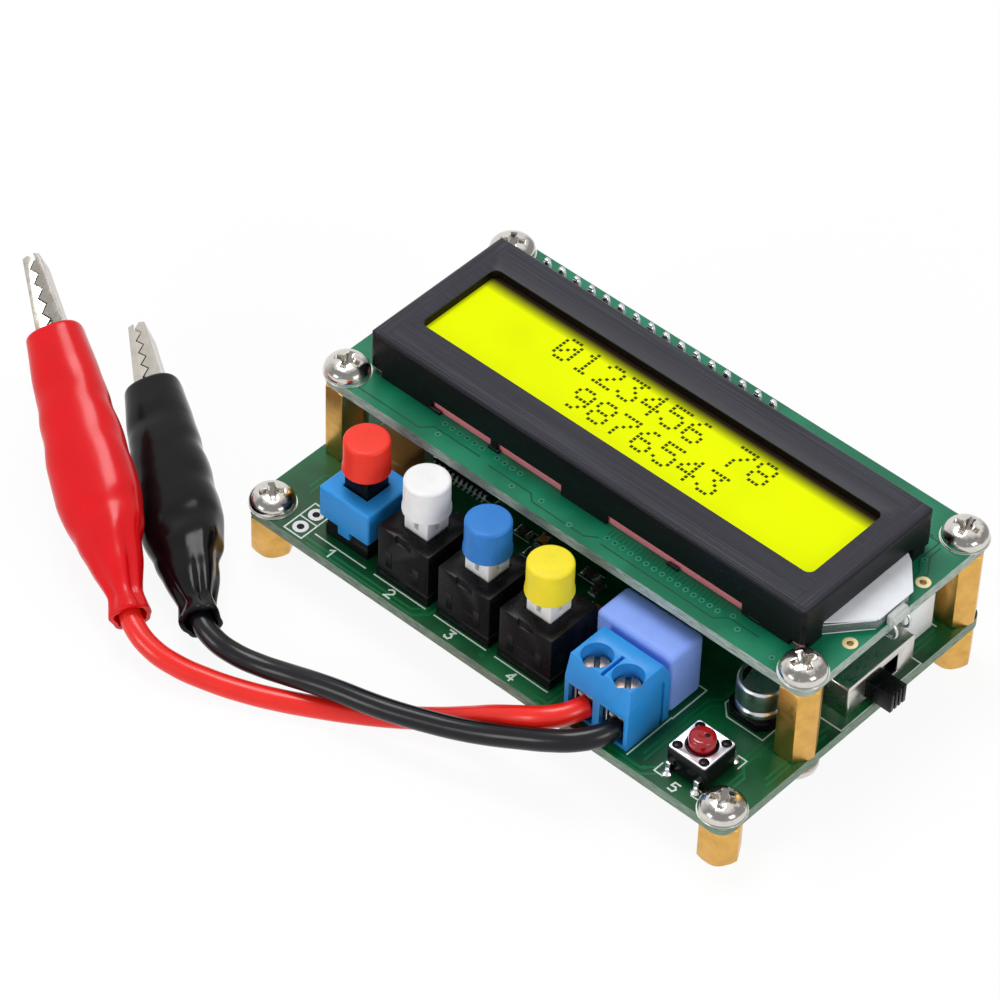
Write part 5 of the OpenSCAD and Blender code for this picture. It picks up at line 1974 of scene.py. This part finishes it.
@dataclass
class PushSwitches:
    """Four push switches with round caps."""

    names: tuple[str, ...] = ("zero", "capacitance", "inductance", "mode")
    start: float = -25.3
    pitch: float = 10.2
    row: float = -17.95
    low: float = 19.0
    high: float = 24.05

    def build(self) -> None:
        """Make the bodies, the stems and the caps."""
        caps = (Finishes.RED_CAP, Finishes.WHITE, Finishes.BLUE_CAP, Finishes.YELLOW_CAP)
        for index, (name, cap) in enumerate(zip(self.names, caps)):
            self.body(index, name)
            stem = Finishes.DEEP_BLACK if name == "zero" else Finishes.WHITE
            rounded(name + "_plunger", name + "_stem", stem, 0.1, name + "_key", 30)
            self.cap(index, name, cap)
        Model.from_node("zero_hood", "zero_cover", 0.14, 3).piece(
            [Finishes.COVER_BLUE], replaces=["zero_cover"], smooth=34
        )

    def body(self, index: int, name: str) -> None:
        """Round a body's edges and mould the marks of its latches.

        Args:
            index: its place in the row.
            name: the switch's name.
        """
        model = Model.from_node(name + "_housing", name + "_base", 0.14)
        middle = self.start + index * self.pitch
        if name != "zero":
            for turn in (0, 90, 180, 270):
                latch = Model("latch")
                latch.box((-2.9, -4.31, 2.2), (-1.9, -4.2, 5.0))
                latch.box((1.7, -4.31, 2.2), (2.7, -4.2, 5.0))
                latch.box((-1.9, -4.29, 3.4), (1.7, -4.2, 3.8))
                latch.bevel(0.03, 1)
                place = Matrix.Translation((middle, self.row, MAIN_TOP))
                model.join(latch, place @ Matrix.Rotation(math.radians(turn), 4, "Z"))
        model.piece([Finishes.BLACK], replaces=[name + "_base"], smooth=34)

    def cap(self, index: int, name: str, finish: Finish) -> None:
        """Turn one cap, hollow below, with a soft upper edge.

        Args:
            index: its place in the row.
            name: the switch's name.
            finish: the cap's finish.
        """
        low, high = self.low, self.high
        profile: list[Flat] = [
            (0, low + 2.6), (1.9, low + 2.6), (1.9, low + 0.1), (2.0, low), (3.08, low),
            (3.15, low + 0.07), (3.13, low + 0.55), (3.05, low + 0.8), (3.0, low + 1.0),
            (3.0, high - 0.45),
        ]
        for step in range(1, 7):
            angle = math.pi / 2 * step / 6
            profile.append((2.55 + 0.45 * math.cos(angle), high - 0.45 + 0.42 * math.sin(angle)))
        profile += [(1.6, high - 0.015), (0, high)]
        model = Model(name + "_round_cap")
        model.lathe(profile, (self.start + index * self.pitch, self.row, 0), sides=56)
        model.piece([finish], name + "_key", [name + "_cap"], smooth=36)


@dataclass
class FunctionButton:
    """Small square button with a clear red top."""

    middle: Flat = (31.1, -18.9)
    plate: float = 11.5

    def build(self) -> None:
        """Make the body, the plate with its rivets, the legs and the button."""
        rounded("function_body", "func_base", Finishes.DEEP_BLACK, 0.08, smooth=32)
        rounded("function_plate", "func_plate", Finishes.TIN, 0.04, smooth=32)
        rounded("function_legs", "func_legs", Finishes.SOLDER, 0.04, smooth=40)
        x, y = self.middle
        rivets = Model("function_rivets")
        for right in (-1, 1):
            for up in (-1, 1):
                rivets.lathe([
                    (0.66, 0), (0.66, 0.06), (0.55, 0.16), (0.3, 0.22), (0, 0.23),
                ], (x + right * 2.1, y + up * 2.1, self.plate), sides=24)
        rivets.lathe(
            [(1.8, -0.02), (1.86, 0.06), (2.04, 0.06), (2.12, -0.02)], (x, y, self.plate), sides=40
        )
        rivets.piece([Finishes.DEEP_BLACK], smooth=50)
        button = Model("function_key")
        button.lathe([
            (0, 10.8), (1.6, 10.8), (1.7, 10.9), (1.73, 12.6), (1.68, 12.95), (1.5, 13.14),
            (1.2, 13.19), (0.5, 13.2), (0.44, 13.12), (0, 13.08),
        ], (x, y, 0), sides=44)
        button.finish = 1
        button.lathe(
            [(0, 0), (0.34, 0), (0.3, 0.03), (0, 0.04)], (x + 0.5, y + 0.3, 13.185), sides=16
        )
        button.piece([Finishes.RED_CLEAR, Finishes.RESIN], "func_key", ["func_button"], smooth=40)


@dataclass
class SlideSwitch:
    """Slide switch in its folded shell."""

    def build(self) -> None:
        """Round the shell and the knob, and dress the base."""
        rounded("slide_case", "slide_shell", Finishes.SHELL_NICKEL, 0.1)
        rounded("slide_grip", "slide_knob", Finishes.DEEP_BLACK, 0.08, "power_knob")
        dress("slide_base", Finishes.RESIN)


@dataclass
class Terminal:
    """Two-pole screw terminal."""

    poles: Flat = (15.5, 20.5)
    row: float = -20.6
    slot: float = 128.0

    def build(self) -> None:
        """Round the body, the screws and the cages, and turn the screws' slots."""
        rounded("terminal_case", "terminal_body", Finishes.BLOCK_BLUE, 0.12)
        for side, x in zip(("left", "right"), self.poles):
            middle = Matrix.Translation((x, self.row, 0))
            turned = middle @ Matrix.Rotation(math.radians(self.slot), 4, "Z") @ middle.inverted()
            node = "terminal_screw_" + side
            screw = Model.from_node(side + "_clamp_screw", node, 0.1).turn(turned)
            screw.piece([Finishes.COPPER], side + "_screw", [node], smooth=34)
            rounded(
                side + "_clamp_cage", "terminal_cage_" + side, Finishes.SHELL_NICKEL, 0.06,
                side + "_cage",
            )
        dress("terminal_contacts", Finishes.TIN)


@dataclass
class BoardParts:
    """Capacitors, chips and the battery socket of the main board."""

    top: float = MAIN_TOP

    def build(self) -> None:
        """Make every part that stands on the main board."""
        self.film_capacitor()
        self.can()
        rounded("can_foot", "can_base", Finishes.DEEP_BLACK, 0.12)
        block = Model("brown_block")
        block.box((-34.4, -9.85, self.top), (-27.2, -4.95, 12.0))
        block.bevel(0.4, 4)
        block.piece([Finishes.BROWN], replaces=["block_capacitor"], smooth=40)
        self.processor()
        self.chips()
        rounded("battery_socket", "battery_header", Finishes.WHITE, 0.12)
        dress("solder_joints", Finishes.SOLDER)

    def film_capacitor(self) -> None:
        """Mould the film capacitor's case with soft edges and its potted foot."""
        model = Model("film_case")
        model.box((10.6, -15.35, 7.75), (23.0, -9.35, 17.4))
        model.bevel(0.75, 5)
        foot = Model("foot")
        for x in (11.9, 21.7):
            foot.box((x - 0.7, -14.9, self.top), (x + 0.7, -9.8, 8.4))
        foot.bevel(0.15)
        model.join(foot)
        model.piece([Finishes.FILM_BLUE], replaces=["film_capacitor"], smooth=50)

    def can(self) -> None:
        """Turn the can with its crimped groove and its domed top."""
        x, y = 30.3, -6.888
        model = Model("round_can")
        profile: list[Flat] = [
            (0, 0), (3.05, 0), (3.15, 0.1), (3.15, 0.65), (3.1, 0.8), (2.93, 0.95), (2.88, 1.08),
            (2.93, 1.2), (3.1, 1.36), (3.15, 1.5), (3.15, 4.0),
        ]
        for step in range(1, 8):
            angle = math.pi / 2 * step / 7
            profile.append((2.7 + 0.45 * math.cos(angle), 4.05 + 0.5 * math.sin(angle)))
        profile += [(2.5, 4.5), (1.2, 4.47), (0, 4.46)]
        model.lathe(profile, (x, y, 8.9), sides=64)
        model.finish = 1
        wedge = []
        for step in range(13):
            angle = math.radians(150 + 90 * step / 12)
            wedge.append((x + 2.45 * math.cos(angle), y + 2.45 * math.sin(angle)))
        model.prism(wedge, 13.38, 13.42)
        model.piece([Finishes.ALUMINIUM, Finishes.BLACK], replaces=["can_capacitor"], smooth=40)

    def processor(self) -> None:
        """Mould the flat pack and bend its legs."""
        x, y = -22.3, 1.8
        model = Model("flat_pack")
        body = Model("body")
        rings = []
        for grow, height in ((-0.15, 0.15), (0.0, 0.62), (0.0, 0.72), (-0.12, 1.2)):
            outline = soft_rectangle(10 + 2 * grow, 10 + 2 * grow, 0.3, 3)
            rings.append([(x + a, y + b, self.top + height) for a, b in outline])
        body.loft(rings)
        body.lathe([(0.45, 1.2), (0.4, 1.205), (0, 1.205)], (x - 3.8, y - 3.8, self.top), sides=20)
        model.join(body)
        model.finish = 1
        legs = Model("legs")
        path = [(4.9, 0.66), (5.3, 0.62), (5.5, 0.12), (6.0, 0.08)]
        for index in range(11):
            left, right = (index - 5) * 0.8 - 0.18, (index - 5) * 0.8 + 0.18
            legs.loft([
                [(left, reach, height - 0.06), (right, reach, height - 0.06),
                 (right, reach, height + 0.08), (left, reach, height + 0.08)]
                for reach, height in path
            ])
        for turn in range(4):
            place = Matrix.Translation((x, y, self.top))
            model.join(legs, place @ Matrix.Rotation(math.pi / 2 * turn, 4, "Z"))
        model.piece([Finishes.RESIN, Finishes.TIN], replaces=["processor"], smooth=30)

    def chips(self) -> None:
        """Make the chip parts with their plated ends and fillets of solder."""
        places = [
            (-10.6, -4.4, 0), (-8.0, -3.9, 90), (-7.2, -6.6, 0), (-12.6, -7.2, 90),
            (-3.8, -4.5, 90), (0.4, -4.2, 0), (2.6, -5.4, 90), (4.9, -8.2, 0),
            (8.2, -5.5, 90), (-33.2, 4.5, 90), (-8, 8.5, 0), (-1, 12, 0),
            (12, 3, 90), (18, 9.5, 0), (22.5, 2.5, 90), (-29, 14, 0),
        ]
        model = Model("chip_parts")
        for index, (x, y, turn) in enumerate(places):
            place = Matrix.Translation((x, y, self.top))
            place = place @ Matrix.Rotation(math.radians(turn), 4, "Z")
            chip = Model("chip")
            chip.box((-0.66, -0.6, 0.02), (0.66, 0.6, 0.55))
            chip.bevel(0.05)
            model.finish = 2 if index % 3 == 1 else 0
            model.join(chip, place)
            ends = Model("ends")
            for side in (-1, 1):
                end = Model("end")
                end.box((0.64, -0.63, 0.0), (1.0, 0.63, 0.59))
                end.bevel(0.07)
                fillet = Model("fillet")
                fillet.prism([(1.0, 0.0), (1.35, 0.0), (1.08, 0.12), (1.0, 0.4)], -0.6, 0.6, Axis.Y)
                mirror = Matrix.Rotation(math.pi if side < 0 else 0.0, 4, "Z")
                ends.join(end, mirror)
                ends.join(fillet, mirror)
            model.finish = 1
            model.join(ends, place)
        model.piece(
            [Finishes.CHIP, Finishes.SOLDER, Finishes.BROWN], replaces=["small_parts"], smooth=30
        )


# ----------------------------------------------------------------------------- whole


def main() -> None:
    """Build the studio, the leads with their clips, and the tester."""
    logging.basicConfig(level=logging.INFO, format="%(message)s")
    Studio().build()
    red = Lead("red_lead_wire", "red_lead", Finishes.RED_WIRE, 15.5, 75.2, RED_ROUTE)
    black = Lead("black_lead_wire", "black_lead", Finishes.BLACK_WIRE, 20.5, 69.6, BLACK_ROUTE)
    red_clip = Clip("red", (-38, -47.2, 5), 148.2, 12.3, Finishes.RED_BOOT, 0.6, 1.0)
    black_clip = Clip("black", (-30.7, -42.1, 5.6), 143, -2.4, Finishes.BLACK_BOOT, 2.1, 1.2, -1)
    for lead, clip in ((red, red_clip), (black, black_clip)):
        lead.build()
        clip.build()
        lead.declare(clip.pieces)
    for part in (
        Boards(), Brass(), Screws(), Display(), Header(), PushSwitches(), FunctionButton(),
        SlideSwitch(), Terminal(), BoardParts(),
    ):
        LOG.info("building %s", type(part).__name__)
        part.build()


if __name__ == "__main__":
    main()
